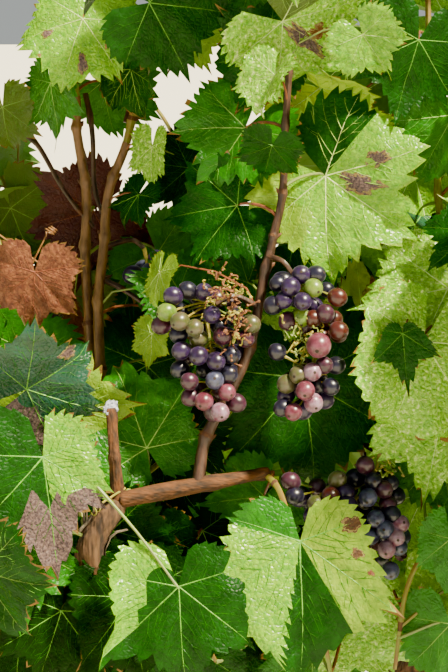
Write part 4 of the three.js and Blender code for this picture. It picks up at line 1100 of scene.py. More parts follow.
class Blades:  # the shapes of many leaves at once, by each leaf's own draws
    def __init__(self, leaves):
        self.leaves = leaves
        self.key = np.array([leaf["key"] for leaf in leaves], float)
        self.index = np.array([leaf["index"] for leaf in leaves], float)
        draw = self.draw
        self.reach = self.given("reach")
        lower = veinAngles[0] + veinSwing[0] * (draw(31) * 2 - 1)
        upper = veinAngles[1] + veinSwing[1] * (draw(32) * 2 - 1)
        back = 180 - stalkNotch["least"] - stalkNotch["more"] * draw(33)
        bounds = np.concatenate([-back, -lower, -upper, 0 * back, upper, lower, back], 1)
        self.bounds = np.radians(bounds)[:, :, 0]
        self.ends = np.pad(np.array([leaf.get("lobes", lobeReach) for leaf in leaves]), ((0, 0), (1, 1)))
        drawn = {name: self.drawn(*row) for name, row in bladeDraws.items()}
        self.lowerNotch = self.given("notch", drawn["lowerNotch"])
        self.upperNotch = self.given("notch", drawn["upperNotch"])
        self.teeth = self.given("teeth", 1.0)
        self.basal = self.given("basal", drawn["basal"])
        self.fold = self.given("fold", drawn["fold"])
        more = bowDraw["more"] - bowDraw["frontLess"] * self.given("front", 0.0)
        self.bow = bowDraw["least"] + more * draw(bowDraw["number"])
        self.pillow, self.ripple, self.crumple = drawn["pillow"], drawn["ripple"], drawn["crumple"]
        self.waves, self.phase = 5 + np.floor(4 * draw(41)), drawn["phase"]
        self.saddle, self.saddlePhase = drawn["saddle"], drawn["saddlePhase"]
        self.curls = {}  # where a side rolls over, how tightly, and whether up or down
        for side, (start, tight, (upShare, number)) in curlDraws.items():
            way = np.where(draw(number) < upShare, 1.0, -1.0)
            self.curls[side] = (self.drawn(*start), self.drawn(*tight), way)
            for i, leaf in enumerate(leaves):
                for own, ruled in zip(leaf.get("curls", {}).get(side, ()), self.curls[side]):
                    ruled[i] = own
        way = np.where(draw(tipDraws["number"]) < tipDraws["downShare"], -1.0, 1.0)
        self.curls["tip"] = (self.drawn(*tipDraws["start"]), self.drawn(*tipDraws["tight"]), way)

    def draw(self, c):
        return dice(self.key, self.index, c)[:, None, None]

    def drawn(self, least, more, number):
        return least + more * self.draw(number)

    def given(self, name, ruled=np.nan):  # a leaf's own value, or else the ruled one
        own = np.array([leaf.get(name, np.nan) for leaf in self.leaves], float)[:, None, None]
        return np.where(np.isnan(own), ruled, own)

    def sectors(self, angle):
        bounds = self.bounds.reshape(len(self.leaves), 7, *([1] * (angle.ndim - 1)))
        sector = np.clip(sum((angle >= bounds[:, k]).astype(int) for k in range(1, 6)), 0, 5)
        rows = fitted(np.arange(len(self.leaves)), angle)
        low, high = self.bounds[rows, sector], self.bounds[rows, sector + 1]
        return sector, np.clip((angle - low) / (high - low), 0, 1)

    def rim(self, sector, share):  # how far the blade reaches, as a share of its middle lobe
        rows = fitted(np.arange(len(self.leaves)), sector)
        low, high = self.ends[rows, sector], self.ends[rows, sector + 1]
        dip = 0.6 * np.sin(math.pi * share) ** 0.85 + 0.4 * (1 - np.abs(1 - 2 * share))
        lower = (sector == 1) | (sector == 4)
        depth = np.where(lower, fitted(self.lowerNotch, sector), fitted(self.upperNotch, sector))
        lobes = (low + (high - low) * share) * (1 - depth * dip)
        atStalk = (sector == 0) | (sector == 5)
        lobe = low + high  # in these two sectors the end at the stalk is nought
        base = lobe + (fitted(self.basal, sector) - lobe) * np.where(sector == 0, 1 - share, share) ** 2.0
        return np.where(atStalk, base, lobes)

    def rimAt(self, x, y):
        return self.rim(*self.sectors(np.arctan2(x, y))) * fitted(self.reach, x)

    def place(self, x, y, lift):  # a flat place on the blade, shaped, in world millimetres
        angle = np.arctan2(x, y)
        share = self.sectors(angle)[1]
        reach, phase = fitted(self.reach, x), fitted(self.phase, x)
        rho = np.hypot(x, y) / reach
        z = -fitted(self.bow, x) * rho ** 2
        z += fitted(self.pillow, x) * rho ** 1.3 * np.sin(math.pi * share)
        z += fitted(self.ripple, x) * rho ** 4 * np.sin(fitted(self.waves, x) * angle + phase)
        z += fitted(self.saddle, x) * rho ** 2 * np.sin(2 * angle + fitted(self.saddlePhase, x))
        z += fitted(self.crumple, x) * rho * np.sin(x / reach * 17 + phase) * np.sin(y / reach * 15)
        z = z * reach + fitted(self.fold, x) * np.abs(x) + lift
        for side, sign in (("low", -1), ("high", 1)):
            start, bend, way = (fitted(part, x) for part in self.curls[side])
            out, z = curledOver(sign * x, z, start * reach, bend * reach, way)
            x = sign * out
        start, bend, way = (fitted(part, x) for part in self.curls["tip"])
        y, z = curledOver(y, z, start * reach, bend * reach, way)
        shape = (len(self.leaves), *([1] * (x.ndim - 1)), 3)
        root, tip, normal = (np.array([leaf[part] for leaf in self.leaves]).reshape(shape)
                             for part in ("root", "tip", "normal"))
        return root + np.cross(normal, tip) * x[..., None] + tip * y[..., None] + normal * z[..., None]


def bladeFinishes(leaf, angle, share, tipped, fine):  # the finish of each triangle of the upper side
    look = looks[leaf["look"]]
    finishes = np.full(angle.shape, leafFinish[look["blade"]])
    # A zone paints a wedge of the blade: painted sunlight, painted shade, or a tint of the leaf.
    for low, high, near, far, finish in leaf.get("zones", []):
        wedge = (angle > low) & (angle < high) & (share >= near) & (share <= far + 0.001)
        finishes[wedge] = leafFinish[finish]
    if not fine:
        return finishes
    rim = share > 0.975
    if look["margin"] != look["blade"]:
        finishes[rim & (np.sin(angle * 0.11 + leaf["index"]) > -0.5)] = leafFinish[look["margin"]]
    dried = dice(leaf["key"], leaf["index"], 61)
    spotty = dice(np.floor(angle / 7), leaf["index"], 62) < (0.4 if dried < 0.35 else 0.05)
    finishes[rim & tipped & spotty] = leafFinish["brown"]
    return finishes


def cornerMeans(values):  # for both triangles of each cell of a grid
    a, b, c, d = values[:-1, :-1], values[1:, :-1], values[1:, 1:], values[:-1, 1:]
    return np.stack([(a + b + c) / 3, (a + c + d) / 3], -1)


def outlines(blades, detail, columns):  # the angle and distance of each point of each leaf, flat
    sector, share, low, high, tooth, number = columns
    rings = np.array(detail["rings"])
    out = rings[None, :, None]
    half = blades.reach * leafSize["vein"] * (1 - 0.8 * out) + 0.18
    wide = np.minimum(half / (blades.reach * out), 0.14)
    starts = blades.bounds[:, None, sector] + wide * low
    ends = blades.bounds[:, None, sector + 1] - wide * high
    key, index = blades.key[:, None], blades.index[:, None]
    jitter = 0.22 * swing(key, index, 300 + np.arange(len(sector))[None])[:, None]
    steps = 1 / (np.array(detail["between"])[sector] + 1)
    angle = starts + (ends - starts) * (share + jitter * steps * ((share > 0) & (share < 1)))
    rim = blades.rim(np.broadcast_to(sector, angle.shape), np.broadcast_to(share, angle.shape))
    bite = 0.4 + 1.2 * dice(key, index, 500 + (sector * 8 + number)[None])[:, None]
    strength = np.where(rings > 0.99, 1.0, np.where(rings > 0.96, 0.55, np.where(rings > 0.9, 0.15, 0.0)))
    toothed = detail["tooth"] * tooth * bite * strength[:, None] * blades.teeth
    return angle, blades.reach * out * rim * (1 + toothed)


def leafCells(leaves, detail, columns, angle):  # the finishes of all triangles, in the order of their corners
    sector, share, low, high, tooth, number = columns
    rings = np.array(detail["rings"])
    near, far = rings[:-1, None] + 0 * share[1:], rings[1:, None] + 0 * share[1:]
    wallShare = np.stack([near + (far - near) * 0.67, near + (far - near) * 0.34], -1)
    wallShare[-1] = 0.99  # all of the last ring is margin
    tipped = np.stack([(tooth[:-1] > 0.8) | (tooth[1:] > 0.8), tooth[1:] > 0.8], -1) & (wallShare > 0)
    middle = (share == 1) & (low == 0) & (high == 0) & detail["veined"]
    onVein = middle[1:] | middle[:-1]
    finishes = []
    for leaf, around in zip(leaves, np.degrees(angle)):
        look = looks[leaf["look"]]
        vein = leafFinish[look["vein"]]
        upper = bladeFinishes(leaf, cornerMeans(around), wallShare, tipped, detail["ribs"])
        upper[:, onVein] = vein
        # A curled lobe's underside may take its own finish, painted sunlight where one is given.
        under = np.full_like(upper, leafFinish[leaf.get("curlUnder", look["under"])])
        under[:, onVein] = vein if look["under"] == "rust" else leafFinish["veinLight"]
        finishes += [np.where(onVein, vein, upper[0, :, 1]), upper.ravel(), under[0, :, 1], under.ravel()]
    return np.concatenate(finishes)


def growLeaves(heap, leaves, detail):
    if not leaves:
        return
    blades = Blades(leaves)
    n, rings = len(leaves), np.array(detail["rings"])
    columns = columnsOf(detail["between"], detail["veined"])
    angle, radius = outlines(blades, detail, columns)
    x, y = np.sin(angle) * radius, np.cos(angle) * radius
    body = leafSize["thick"] * (1 - rings ** 4)[None, :, None]
    top, bottom = blades.place(x, y, body * 0), blades.place(x, y, -body)
    centre = np.zeros((n, 1))
    hubs = [blades.place(centre, centre, lift) for lift in (0.0, -leafSize["thick"])]
    points = np.concatenate([*hubs, top.reshape(n, -1, 3), bottom.reshape(n, -1, 3)], 1)
    upper = 2 + np.arange(angle[0].size).reshape(angle[0].shape)
    lower = upper + angle[0].size
    for edge in (np.s_[-1], np.s_[:, 0], np.s_[:, -1]):  # both sides meet at the rim
        lower[edge] = upper[edge]
    corners = np.vstack([fan(0, upper[0]), cells(upper), fan(1, lower[0], True), cells(lower, True)])
    heap.add(points, copies(corners, n, points.shape[1]), leafCells(leaves, detail, columns, angle))
    if detail["ribs"]:
        addBlotches(heap, leaves)
        addRibs(heap, blades)


ribSize = {"shares": (0.14, 0.27, 0.41, 0.56, 0.72), "slope": 46, "outerSlope": 58, "arc": 0.45,
           "tries": np.linspace(0.05, 0.72, 16), "shortest": 5, "fork": 0.75, "forkArc": 0.2, "forkOver": 16,
           "width": 0.30, "height": 0.32, "mainWidth": 0.70, "mainHeight": 0.42, "sunk": 0.14,
           "scale": 80}  # these widths are those of a blade of this reach
sideVeins = {"veinLight": "veinMid", "veinMid": "veinDark", "veinDark": "mid", "veinRed": "veinRed"}


def addStrip(heap, blades, x, y, width, ridge, finish, keep):  # a fine ridge along a line on each blade
    dx, dy = np.gradient(x, axis=1), np.gradient(y, axis=1)
    size = np.maximum(np.hypot(dx, dy), 1e-6)
    wide = width * blades.reach[:, :, 0] / ribSize["scale"]
    dx, dy = dx / size * wide, dy / size * wide
    sunk = 0 * x - ribSize["sunk"]
    edges = [blades.place(x - dy, y + dx, sunk), blades.place(x, y, ridge + 0 * x),
             blades.place(x + dy, y - dx, sunk)]
    points = np.stack(edges, 2)[keep]
    if len(points):
        strip = cells(np.arange(x.shape[1] * 3).reshape(-1, 3))
        heap.add(points, copies(strip, len(points), x.shape[1] * 3), np.repeat(finish[keep], len(strip)))


def addSideRib(heap, blades, finish, v, side, order):  # it arcs away from a main vein, and forks once
    key, index = blades.key[:, None], blades.index[:, None]
    reach, tries = blades.reach[:, :, 0], ribSize["tries"]
    main, lobe = blades.bounds[:, v][:, None], blades.ends[:, v][:, None]
    outer = (v, side) in ((1, -1), (5, 1))
    share = ribSize["shares"][order] + 0.035 * swing(key, index, 70 + v * 11 + order * 3 + side) + 0.02 * side
    slope = math.radians(ribSize["outerSlope" if outer else "slope"])
    heading = main + side * (slope + 0.12 * swing(key, index, 130 + v * 7 + order))
    startX, startY = np.sin(main) * reach * lobe * share, np.cos(main) * reach * lobe * share
    aim = heading - side * ribSize["arc"] / 2
    endX, endY = startX + np.sin(aim) * tries * reach, startY + np.cos(aim) * tries * reach
    inBlade = np.hypot(endX, endY) < blades.rimAt(endX, endY) * 0.95
    inLobe = np.abs(np.arctan2(endX, endY) - main) < (0.75 if outer else 0.50)
    length = np.where(inBlade & inLobe, tries, 0).max(1)[:, None] * reach
    t = np.linspace(0, 1, 5)[None]
    turn = heading - side * ribSize["arc"] * t
    x = startX + np.cumsum(np.sin(turn) * (t > 0), 1) * length / 4
    y = startY + np.cumsum(np.cos(turn) * (t > 0), 1) * length / 4
    keep = length[:, 0] > ribSize["shortest"]
    width, height = ribSize["width"] * (1 - 0.7 * t), ribSize["height"] * (1 - 0.5 * t)
    addStrip(heap, blades, x, y, width, height, finish, keep)
    t = np.array([[0, 0.5, 1]])
    turn = turn[:, 2:3] + side * (ribSize["fork"] - ribSize["forkArc"] * t)
    run = length * (0.30 - 0.12 * share) * t
    addStrip(heap, blades, x[:, 2:3] + np.sin(turn) * run, y[:, 2:3] + np.cos(turn) * run,
             ribSize["width"] * 0.7 * (1 - 0.7 * t), ribSize["height"] * 0.8 * (1 - 0.5 * t), finish,
             keep & (length[:, 0] > ribSize["forkOver"]))


def addRibs(heap, blades):  # the veins of the front leaves, each main one a ridge to the tip of its lobe
    key, index, reach = blades.key[:, None], blades.index[:, None], blades.reach[:, :, 0]
    veins = [looks[leaf["look"]]["vein"] for leaf in blades.leaves]
    mainFinish = np.array([leafFinish[vein] for vein in veins])
    sideFinish = np.array([leafFinish[sideVeins[vein]] for vein in veins])
    t = np.linspace(0, 0.97, 10)[None]
    for v in range(1, 6):
        main, lobe = blades.bounds[:, v][:, None], blades.ends[:, v][:, None]
        turn = main + 0.035 * swing(key, index, 66 + v) * np.sin(math.pi * t)
        addStrip(heap, blades, np.sin(turn) * reach * lobe * t, np.cos(turn) * reach * lobe * t,
                 ribSize["mainWidth"] * (1 - 0.78 * t), ribSize["mainHeight"] * (1 - 0.6 * t), mainFinish,
                 np.full(len(veins), True))
        for side in (-1, 1):
            for order in range(len(ribSize["shares"])):
                addSideRib(heap, blades, sideFinish, v, side, order)


# A dried or ripened spot is a thin skin over the blade with its rim sunk in it. Its first rings are whole,
# and a share of the cells of the outer ones is worn to a lighter tint.
blotchSize = {"around": 42, "rings": (0.3, 0.5, 0.65, 0.78, 0.9, 1.0), "whole": 2, "lift": 0.20, "worn": 0.6}


def addBlotch(heap, leaf, order, angle, share, length, width, finish):
    around, rings = blotchSize["around"], np.array(blotchSize["rings"])
    turn, blades = turns(around), Blades([leaf])
    phase = 6.28 * dice(leaf["key"], leaf["index"], 90 + order)
    wobble = 1 + 0.16 * np.sin(3 * turn + phase) + 0.12 * np.sin(5 * turn + 2 * phase)
    wobble = wobble + 0.10 * np.sin(11 * turn)
    out = share * leaf["reach"] + rings[:, None] * np.cos(turn) * wobble * length
    aside = rings[:, None] * np.sin(turn) * wobble * width
    a = math.radians(angle)
    x, y = math.sin(a) * out + math.cos(a) * aside, math.cos(a) * out - math.sin(a) * aside
    x, y = np.append(x.ravel(), np.mean(x))[None], np.append(y.ravel(), np.mean(y))[None]
    inside = np.minimum(1, blades.rimAt(x, y) * 0.95 / np.maximum(np.hypot(x, y), 1e-6))
    lift = np.where(rings > 0.99, -blotchSize["lift"], blotchSize["lift"])
    lift = np.append(np.repeat(lift, around), blotchSize["lift"])
    points = blades.place(x * inside, y * inside, lift[None])[0]
    ids = ringIds(len(rings), around)
    wall = cells(ids)
    corners = np.vstack([wall, fan(around * len(rings), ids[0])])
    number = np.arange(len(corners))
    worn = dice(np.floor(number / 2), leaf["index"], 97 + order) < blotchSize["worn"]
    outer = (number >= blotchSize["whole"] * 2 * around) & (number < len(wall))
    finishes = np.where(outer & worn, leafFinish["blush"], leafFinish[finish])
    if np.dot(np.cross(points[1] - points[-1], points[2] - points[-1]), leaf["normal"]) < 0:
        corners = corners[:, ::-1]
    heap.add(points, corners, finishes)


def addBlotches(heap, leaves):
    for leaf in leaves:
        for order, blotch in enumerate(leaf.get("blotches", [])):
            addBlotch(heap, leaf, order, *blotch)


leafPieces = {
    "leaves_middle": ["centre", "low_centre"],
    "leaves_front_right": ["front_right", "low_right", "front_out", "front_low"],
    "leaves_front_left": ["front_left", "low_left", "stub_side"],
    "leaves_left_canes": ["left_a", "left_b"],
    "leaves_right": ["right_up", "right_out", "right_low", "inner_right", "back_right"],
    "leaves_left": ["left_out", "left_back", "left_low", "inner_left"],
    "leaves_back": ["back_up", "back_left", "back_low", "inner_back"],
}
for name, parts in leafPieces.items():
    heap = Heap()
    for part in parts:
        for size, detail in details.items():
            growLeaves(heap, masses[part][size], detail)
    piece = heap.piece(name, leafMaterials)
    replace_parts(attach(piece, "root"), *(f"foliage_{part}" for part in parts))

# Stalks: each one leaves its shoot at the leaf's own joint and comes in at the leaf's notch.
stalkSize = {"foot": 1.5, "tip": 0.95, "small": 0.6, "red": 0.42, "below": 12}
bearing = [route for name, route in limbs.items() if name != "spur_stub"]
bearing += [stem["route"] for stem in stems.values()]
wood = [(route, share) for route in bearing for share in np.linspace(0.1, 1, 28)]
woodPlaces = np.array([route.one(share) for route, share in wood])


def stalkFoot(point):  # where the nearest shoot, cane or arm is, a little below the leaf
    point = point - worldUp * stalkSize["below"]
    route, share = wood[int(np.argmin(np.linalg.norm(woodPlaces - point, axis=1)))]
    return route.one(share), route.along(share)


def stalkPath(leaf, count):
    root = leaf["root"] - leaf["normal"] * 0.7 + leaf["tip"] * 1.5
    bend = leaf.get("bend")
    if bend is not None:
        return Route([stalkFoot(bend)[0], bend, (bend + root) / 2 + worldUp * 3, root]).steps(22)
    if "stalkFrom" in leaf:
        start, along = leaf["stalkFrom"], worldUp * 0
    else:
        start, along = stalkFoot(leaf["root"])
    span = float(np.linalg.norm(root - start))
    return bowed(start, root, (along * 0.2 + worldUp * 0.10) * span,
                 (worldUp * 0.14 - leaf["tip"] * 0.12 - leaf["normal"] * 0.10) * span, count)


def addStalk(leaf):
    small = leaf["reach"] <= leafSize["smallUnder"]
    path = stalkPath(leaf, 5 if small else 9)
    t = np.linspace(0, 1, len(path))
    swell = 1 + 0.35 * np.exp(-(t / 0.06) ** 2) + 0.2 * np.exp(-((1 - t) / 0.05) ** 2)
    radii = (stalkSize["foot"] + (stalkSize["tip"] - stalkSize["foot"]) * t) * swell
    red = leaf.get("bend") is None and dice(leaf["key"], leaf["index"], 80) < stalkSize["red"]
    tube(shoots, path, radii * (stalkSize["small"] if small else 1), 6 if leaf.get("front") else 4,
         cane["redStalk" if red else "stalk"])


for mass in masses.values():
    for size in details:
        for leaf in mass[size]:
            addStalk(leaf)
for twig in laterals:
    tube(shoots, twig.steps(9), np.linspace(1.5, 0.8, 9), 6, cane["green"])

# Tendrils: a straight arm that winds up at its end, some of them dried brown.
tendrilSize = {"arm": 45, "coil": 5.5, "turns": 2.6, "radius": 0.845, "points": 46, "spacing": 90,
               "dryEvery": 3}


def tendril(start, out, seed, finish, scale=1.0):
    draw = np.random.default_rng(seed)
    out = unit(out)
    side = unit(np.cross(out, worldUp + 0.1))
    up = np.cross(side, out)
    arm = tendrilSize["arm"] * scale * draw.uniform(0.6, 1.2)
    t = np.linspace(0, 1, tendrilSize["points"])
    coil = np.clip((t - 0.45) / 0.55, 0, 1)
    wind = coil ** 1.2 * tendrilSize["turns"] * fullTurn * draw.uniform(0.7, 1.3)
    radius = tendrilSize["coil"] * scale * draw.uniform(0.7, 1.3)
    radius = radius * np.clip(coil * 3, 0, 1) * (1 - 0.45 * coil)
    run = arm * np.minimum(t / 0.5, 1) + arm * 0.35 * coil
    path = start + np.outer(run, out) - np.outer(coil * 8 * scale, worldUp)
    path += np.outer(radius * np.cos(wind), side) + np.outer(radius * np.sin(wind), up)
    tube(shoots, path, np.linspace(1.0, 0.55, len(t)) * tendrilSize["radius"], 5, cane[finish])


for order, stem in enumerate(stems.values()):
    route = stem["route"]
    for i in range(1, int(route.length / tendrilSize["spacing"])):
        start = route.one(i * tendrilSize["spacing"] / route.length)
        out = swings(order, i, 91) * [1, 1, 0.4] + outward(start) * 0.7
        if not hidesTheFront(start + unit(out) * 40, 20):
            finish = "stalk" if (order + i) % tendrilSize["dryEvery"] else "tendril"
            tendril(start, out, 40 + order * 10 + i, finish)
tendril(seen(-148, 46, 40), viewAcross * 0.5 + viewUp, 7, "tendril", 0.8)
tendril(seen(-118, 40, 66), viewAcross * -0.7 + viewUp * 0.5, 5, "tendril", 1.5)
tendril(seen(-74, -114, -2), viewAcross * -0.5 + viewUp * -0.3 - viewDeep * 0.4, 6, "gold", 0.6)
shootPiece = shoots.piece("shoots_and_stalks", caneMaterials)
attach(shootPiece, "root")
print("leaves made")

# Bunches

# The grapes that show from the front, by tint: across, up, behind, and a radius where one has its own. The
# rest of a bunch fills in by rule round its clusters, each with its middle, its size and how many grapes.
bunchRows = {
    "bunch_left": {
        "stalk": [(26, 22, 7), (8, 30, -2), (-6, 24, -4)],
        "clusters": [((-14, 16, 4), (26, 20, 13), 9), ((-9, -12, 4), (22, 18, 14), 9),
                     ((-7, -44, 2), (13, 13, 12), 4)],
        "tints": ["violet blueBlack blueBlack wine", "blueBlack violet blueBlack wine", "wine violet wine"],
        "shown": {
            "violet": [(-38, 30, -10), (-15, 33, -8), (-32, -11, -14), (-19, -15, -17), (-6, -19, -16),
                       (-9, 16, -15)],
            "blueBlack": [(-27, 34, -6), (-34, 1, -8), (-33, -25, -8), (5, -14, -12), (3, -29, -12),
                          (8, 14, -10)],
            "green": [(-43, 18, -12)],
            "greyGreen": [(-33, 11, -19), (-22, 6, -18), (-19, -2, -8), (20, 9, -8)],
            "wine": [(-47, 8, -4), (-26, -34, -17), (-25, -46, -8), (-1, 0, -12), (9, -50, -4), (16, -2, -6)],
            "dusty": [(-7, -33, -17)],
            "pink": [(-15, -49, -17), (2, -42, -14)],
            "rose": [(-3, -57, -16)],
        },
    },
    "bunch_middle": {
        "stalk": [(33, 60, 4), (44, 56, -6), (52, 46, -6)],
        "clusters": [((58, 34, 2), (21, 16, 13), 7), ((74, 4, 4), (13, 12, 10), 2),
                     ((62, -38, 2), (17, 15, 17), 6)],
        "tints": ["blueBlack violet blueBlack", "dullRed wine", "wine violet blueBlack"],
        "shown": {
            "violet": [(58, 46, -10), (50, 37, -14), (45, 27, -12), (59, 26, -18)],
            "blueBlack": [(69, 46, -8), (37, 23, -8), (80, -38, -8), (40, -12, -8), (44, -54, -8),
                          (84, -22, -6)],
            "green": [(67, 36, -14), (58, 14, -8)],
            "greyGreen": [(56, -29, -12), (47, -36, -8)],
            "dullRed": [(85, 29, -12), (86, 4, -12), (67, 13, -10)],
            "wine": [(76, 17, -12), (48, 11, -8), (75, -22, -12)],
            "pink": [(71, -7, -18, 9.4), (61, -41, -18), (52, -57, -14)],
            "rose": [(66, -27, -14), (67, -50, -12)],
        },
    },
    "bunch_right": {
        "stalk": [(196, -62, 54), (150, -80, 40), (118, -84, 30)],
        "clusters": [((110, -120, 28), (20, 17, 17), 7), ((74, -124, 30), (19, 13, 11), 6),
                     ((124, -154, 28), (11, 11, 15), 5)],
        "tints": ["blueBlack violet blueBlack", "wine violet blueBlack", "blueBlack dusty"],
        "shown": {
            "blueBlack": [(112, -109, 12), (126, -134, 8), (53, -120, 16), (104, -142, 10)],
            "wine": [(106, -97, 14), (120, -115, 10), (123, -126, 14), (50, -109, 18)],
            "dusty": [(108, -121, 6), (114, -137, 4), (110, -150, 8), (121, -145, 4), (131, -158, 8),
                      (125, -176, 8)],
            "violet": [(91, -118, 12), (66, -135, 12), (93, -127, 6)],
            "greyGreen": [(85, -108, 14), (69, -126, 10)],
            "dullRed": [(80, -120, 8)],
            "rose": [(132, -141, 8), (129, -151, 4), (122, -160, 2), (80, -131, 6)],
        },
    },
    "bunch_back_left": {
        "stalk": [(-92, 66, 106), (-70, 72, 108), (-60, 66, 110)],
        "clusters": [((-56, 44, 112), (14, 13, 17), 8)],
        "tints": ["dusty blueBlack dusty violet"],
        "shown": {},
    },
}
berrySize = {"radius": 7.6, "shown": 7.2, "trim": 0.97, "around": 18, "tries": 46, "apart": 0.97,
             "crowd": 2.4, "close": 0.88, "dried": 0.05}
latitudes = np.radians([0, 9, 24, 42, 60, 78, 96, 114, 132, 150, 166, 180])


def berryTemplate():  # a round grape: its points, and the corners of its wall, its top and its foot
    turn, rows = turns(berrySize["around"]), len(latitudes) - 2
    out, height = np.sin(latitudes[1:-1])[:, None], np.cos(latitudes[1:-1])[:, None]
    rings = np.stack([out * np.cos(turn), out * np.sin(turn), height + 0 * turn], -1)
    points = np.vstack([rings.reshape(-1, 3), [[0, 0, 1], [0, 0, -1]]])
    ids = ringIds(rows, len(turn))
    return points, [cells(ids), fan(len(points) - 2, ids[0]), fan(len(points) - 1, ids[-1], True)]


berryPoints, berryParts = berryTemplate()
onScar = np.repeat([False, True, False], [len(part) for part in berryParts])
berries = Heap()
stalks = Heap()


def addBerry(at, radius, pole, tint, seed):  # one grape, its scar where it points away from its stalk
    pole = unit(pole)
    side = squareTo(pole)
    basis = np.stack([side, np.cross(pole, side), pole * (1.04 + 0.08 * dice(seed, 1, 4))])
    shape = berryPoints
    if tint == "raisin":
        shape = shape * (0.62 + 0.2 * np.sin(shape @ np.array([7.0, 5.0, 3.0]) * 1.7)[:, None])
    finish = np.where(onScar, berryFinish["scar"], berryFinish[tint])
    berries.add(at + shape @ basis * radius, np.vstack(berryParts), finish)


def hangBerry(spot, radius, at, size, tint, seed):  # a grape on its own short stalk from the cluster's middle
    core = at + np.array([0, 0, np.clip(spot[2] - at[2] + 7, -size[2] * 0.5, size[2] * 0.7)])
    addBerry(spot, radius * berrySize["trim"], spot - core, tint, seed)
    foot = spot - unit(spot - core) * radius * 0.85
    path = bowed(core, foot, (foot - core) * 0.3 + worldUp * 2, unit(core - foot) * 3, 6)
    tube(stalks, path, np.array([1.0, 0.75, 0.7, 0.7, 0.9, 1.5]), 5, cane["gold" if seed % 3 else "stalk"])


def fillCluster(at, size, wanted, names, key, first, kept):  # where there is room, the last ones deeper in
    here = 0
    for index in range(first, first + wanted * berrySize["tries"]):
        full = here >= wanted
        if here >= wanted * berrySize["crowd"] + 2:
            return
        turn, height = dice(key, index, 1) * fullTurn, swing(key, index, 2)
        ring = math.sqrt(1 - height * height)
        radius = berrySize["radius"] * (0.84 + 0.3 * dice(key, index, 3))
        depth = 1.0 if not full else (0.95 if index % 2 else 0.5)
        spot = at + np.array([math.cos(turn) * ring, math.sin(turn) * ring, height]) * size * depth
        near = berrySize["close" if full else "apart"]
        if all(np.linalg.norm(other - spot) > (r + radius) * near for other, r in kept):
            kept.append((spot, radius))
            here += 1
            tint = names[int(dice(key, index, 6) * len(names))]
            dried = dice(key, index, 7) < berrySize["dried"]
            hangBerry(spot, radius, at, size, "raisin" if dried else tint, key * 31 + index)


def addBunch(stalk, clusters, tints, shown, key, finish):
    tube(stalks, Route(stalk).steps(18), np.linspace(2.1, 1.8, 18), 8, cane[finish], 0.03)
    middles = np.array([at for at, size, wanted in clusters])
    kept = []
    for tint, places in shown.items():
        for order, (across, upwards, behind, *own) in enumerate(places):
            spot = seen(across, upwards, behind)
            near = int(np.argmin(np.linalg.norm(middles - spot, axis=1)))
            radius = (own[0] if own else berrySize["shown"]) * (0.94 + 0.12 * dice(key, order, 9))
            kept.append((spot, radius))
            hangBerry(spot, radius, middles[near], clusters[near][1], tint, key * 31 + order)
    for c, (at, size, wanted) in enumerate(clusters):
        before = clusters[c - 1][0] if c else stalk[-1]
        tube(stalks, bowed(before, at, (at - before) * 0.3 + viewUp * 2, (before - at) * 0.2, 8),
             np.linspace(1.8, 1.2, 8), 7, cane["gold"])
        fillCluster(at, size, wanted, tints[c].split(), key, c * 400, kept)


for order, row in enumerate(bunchRows.values()):
    stalk = [seen(*place) for place in row["stalk"]]
    clusters = [(seen(*at), size, wanted) for at, size, wanted in row["clusters"]]
    addBunch(stalk, clusters, row["tints"], row["shown"], order + 1, "purple")

# The bunches under the outer canes, which no picture shows, in two mixes of tints by turns.
farBunch = {"under": ["right_out", "front_out", "back_left", "back_right", "left_out"], "along": 0.62,
            "slope": -0.25, "out": 26, "drop": 12, "lean": 4,
            "clusters": [(26, (21, 21, 17), 9), (54, (13, 13, 19), 5)],
            "tints": [["blueBlack violet wine blueBlack greyGreen dusty", "wine pink violet blueBlack"],
                      ["violet wine green blueBlack dullRed", "pink rose wine"]]}
for order, name in enumerate(farBunch["under"]):
    heading = math.radians(sideShoots[name][2])
    out = np.array([math.cos(heading), math.sin(heading), farBunch["slope"]])
    hang = limbs[f"cane_{name}"].one(farBunch["along"])
    elbow = hang + out * farBunch["out"]
    lower = elbow - worldUp * farBunch["drop"] + out * farBunch["lean"]
    clusters = [(lower - worldUp * below, size, wanted) for below, size, wanted in farBunch["clusters"]]
    addBunch([hang, elbow, lower], clusters, farBunch["tints"][order % 2], {}, order + 11, "stalk")

# Bare, curled stalks where grapes have dropped: their middle, spread, number, seed and finishes.
deadStalks = [((0, 36, -20), (15, 8, 15), 44, 61, "dry gold dry"),
              ((8, 10, -20), (11, 8, 22), 56, 62, "dry dry gold dry"),
              ((62, 6, -10), (18, 8, 10), 26, 63, "gold stalk"),
              ((60, -12, -8), (13, 8, 14), 26, 64, "gold gold stalk"),
              ((120, -98, 16), (14, 8, 12), 16, 65, "gold stalk")]
deadSize = {"length": 8.0, "aim": np.array([0, -0.6, 0.2]), "points": 9,
            "radii": np.array([0.9, 0.6, 0.5, 0.55, 0.5, 0.55, 0.7, 1.2, 0.9])}
for middle, spread, count, seed, names in deadStalks:
    draw = np.random.default_rng(seed)
    for i in range(count):
        start = seen(*middle) + draw.normal(0, 1, 3) * np.array(spread) * 0.5
        out = unit(draw.normal(0, 1, 3) + deadSize["aim"]) * deadSize["length"] * draw.uniform(0.4, 1.2)
        hook = draw.normal(0, 1, 3) * deadSize["length"] * 0.5
        path = bowed(start, start + out, hook, -hook * 0.6 - out * 0.2, deadSize["points"])
        finish = names.split()[i % len(names.split())]
        tube(stalks, path, deadSize["radii"] * draw.uniform(0.7, 1.25), 5, cane[finish])
berryPiece = berries.piece("grapes", berryMaterials)
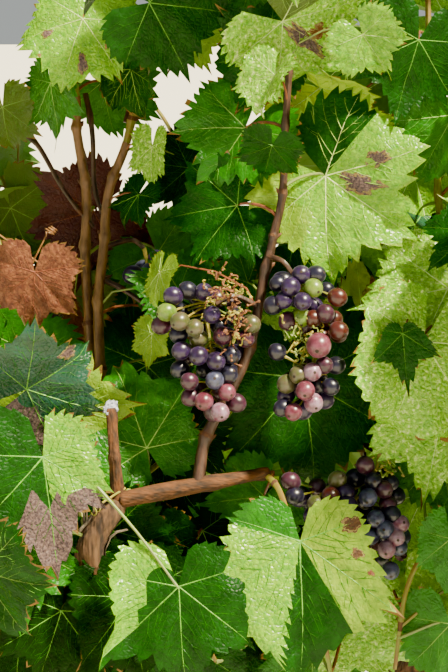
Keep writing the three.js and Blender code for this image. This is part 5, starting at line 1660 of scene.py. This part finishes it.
stalkPiece = stalks.piece("grape_stalks", caneMaterials)
bunchNodes = [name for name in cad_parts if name.startswith("bunch_")]
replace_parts(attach(berryPiece, "root"), *bunchNodes)
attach(stalkPiece, "root")
print("bunches made")

# Stage, light and camera
stage = {"floor": "d2cfc4", "floorRough": 0.9, "floorSize": 160, "sky": "e0e6e2", "skyPower": 0.95}
bpy.context.scene.view_settings.look = "AgX - Punchy"
bpy.ops.mesh.primitive_plane_add(size=stage["floorSize"], location=(0, 0, 0))
floor = bpy.context.object
floor.name = "floor"
floor.data.materials.append(newMaterial("pale studio floor", stage["floor"], stage["floorRough"])[0])

world = bpy.data.worlds.new("studio")
bpy.context.scene.world = world
world.use_nodes = True
world.node_tree.nodes["Background"].inputs["Color"].default_value = linear(stage["sky"])
world.node_tree.nodes["Background"].inputs["Strength"].default_value = stage["skyPower"]

lamps = {  # a broad sun high on the right, and a soft lamp from the left
    "sun": {"kind": "SUN", "at": (1.15, -0.75, 2.6), "aim": (0, 0, 0.6), "power": 33, "tint": "fff2cc",
            "soft": ("angle", math.radians(5))},
    "fill": {"kind": "AREA", "at": (-2.2, -1.8, 1.4), "aim": (0, -0.1, 0.7), "power": 16, "tint": "f4f6ec",
             "soft": ("size", 2.0)},
}
for name, lamp in lamps.items():
    bpy.ops.object.light_add(type=lamp["kind"], location=lamp["at"])
    light = bpy.context.object
    light.name = f"{name}_light"
    light.data.energy = lamp["power"]
    light.data.color = linear(lamp["tint"])[:3]
    light.rotation_euler = (Vector(lamp["aim"]) - Vector(lamp["at"])).to_track_quat("-Z", "Y").to_euler()
    setattr(light.data, *lamp["soft"])

lens = {"sensor": 36, "farthest": 200}
bpy.ops.object.camera_add(location=Vector((fruitCentre - viewDeep * viewDistance) / 1000))
camera = bpy.context.object
camera.rotation_euler = Vector(viewDeep).to_track_quat("-Z", "Y").to_euler()
camera.data.sensor_width = lens["sensor"]
camera.data.lens = lens["sensor"] * viewDistance / viewHeight
camera.data.clip_end = lens["farthest"]
bpy.context.scene.camera = camera

print("ready")
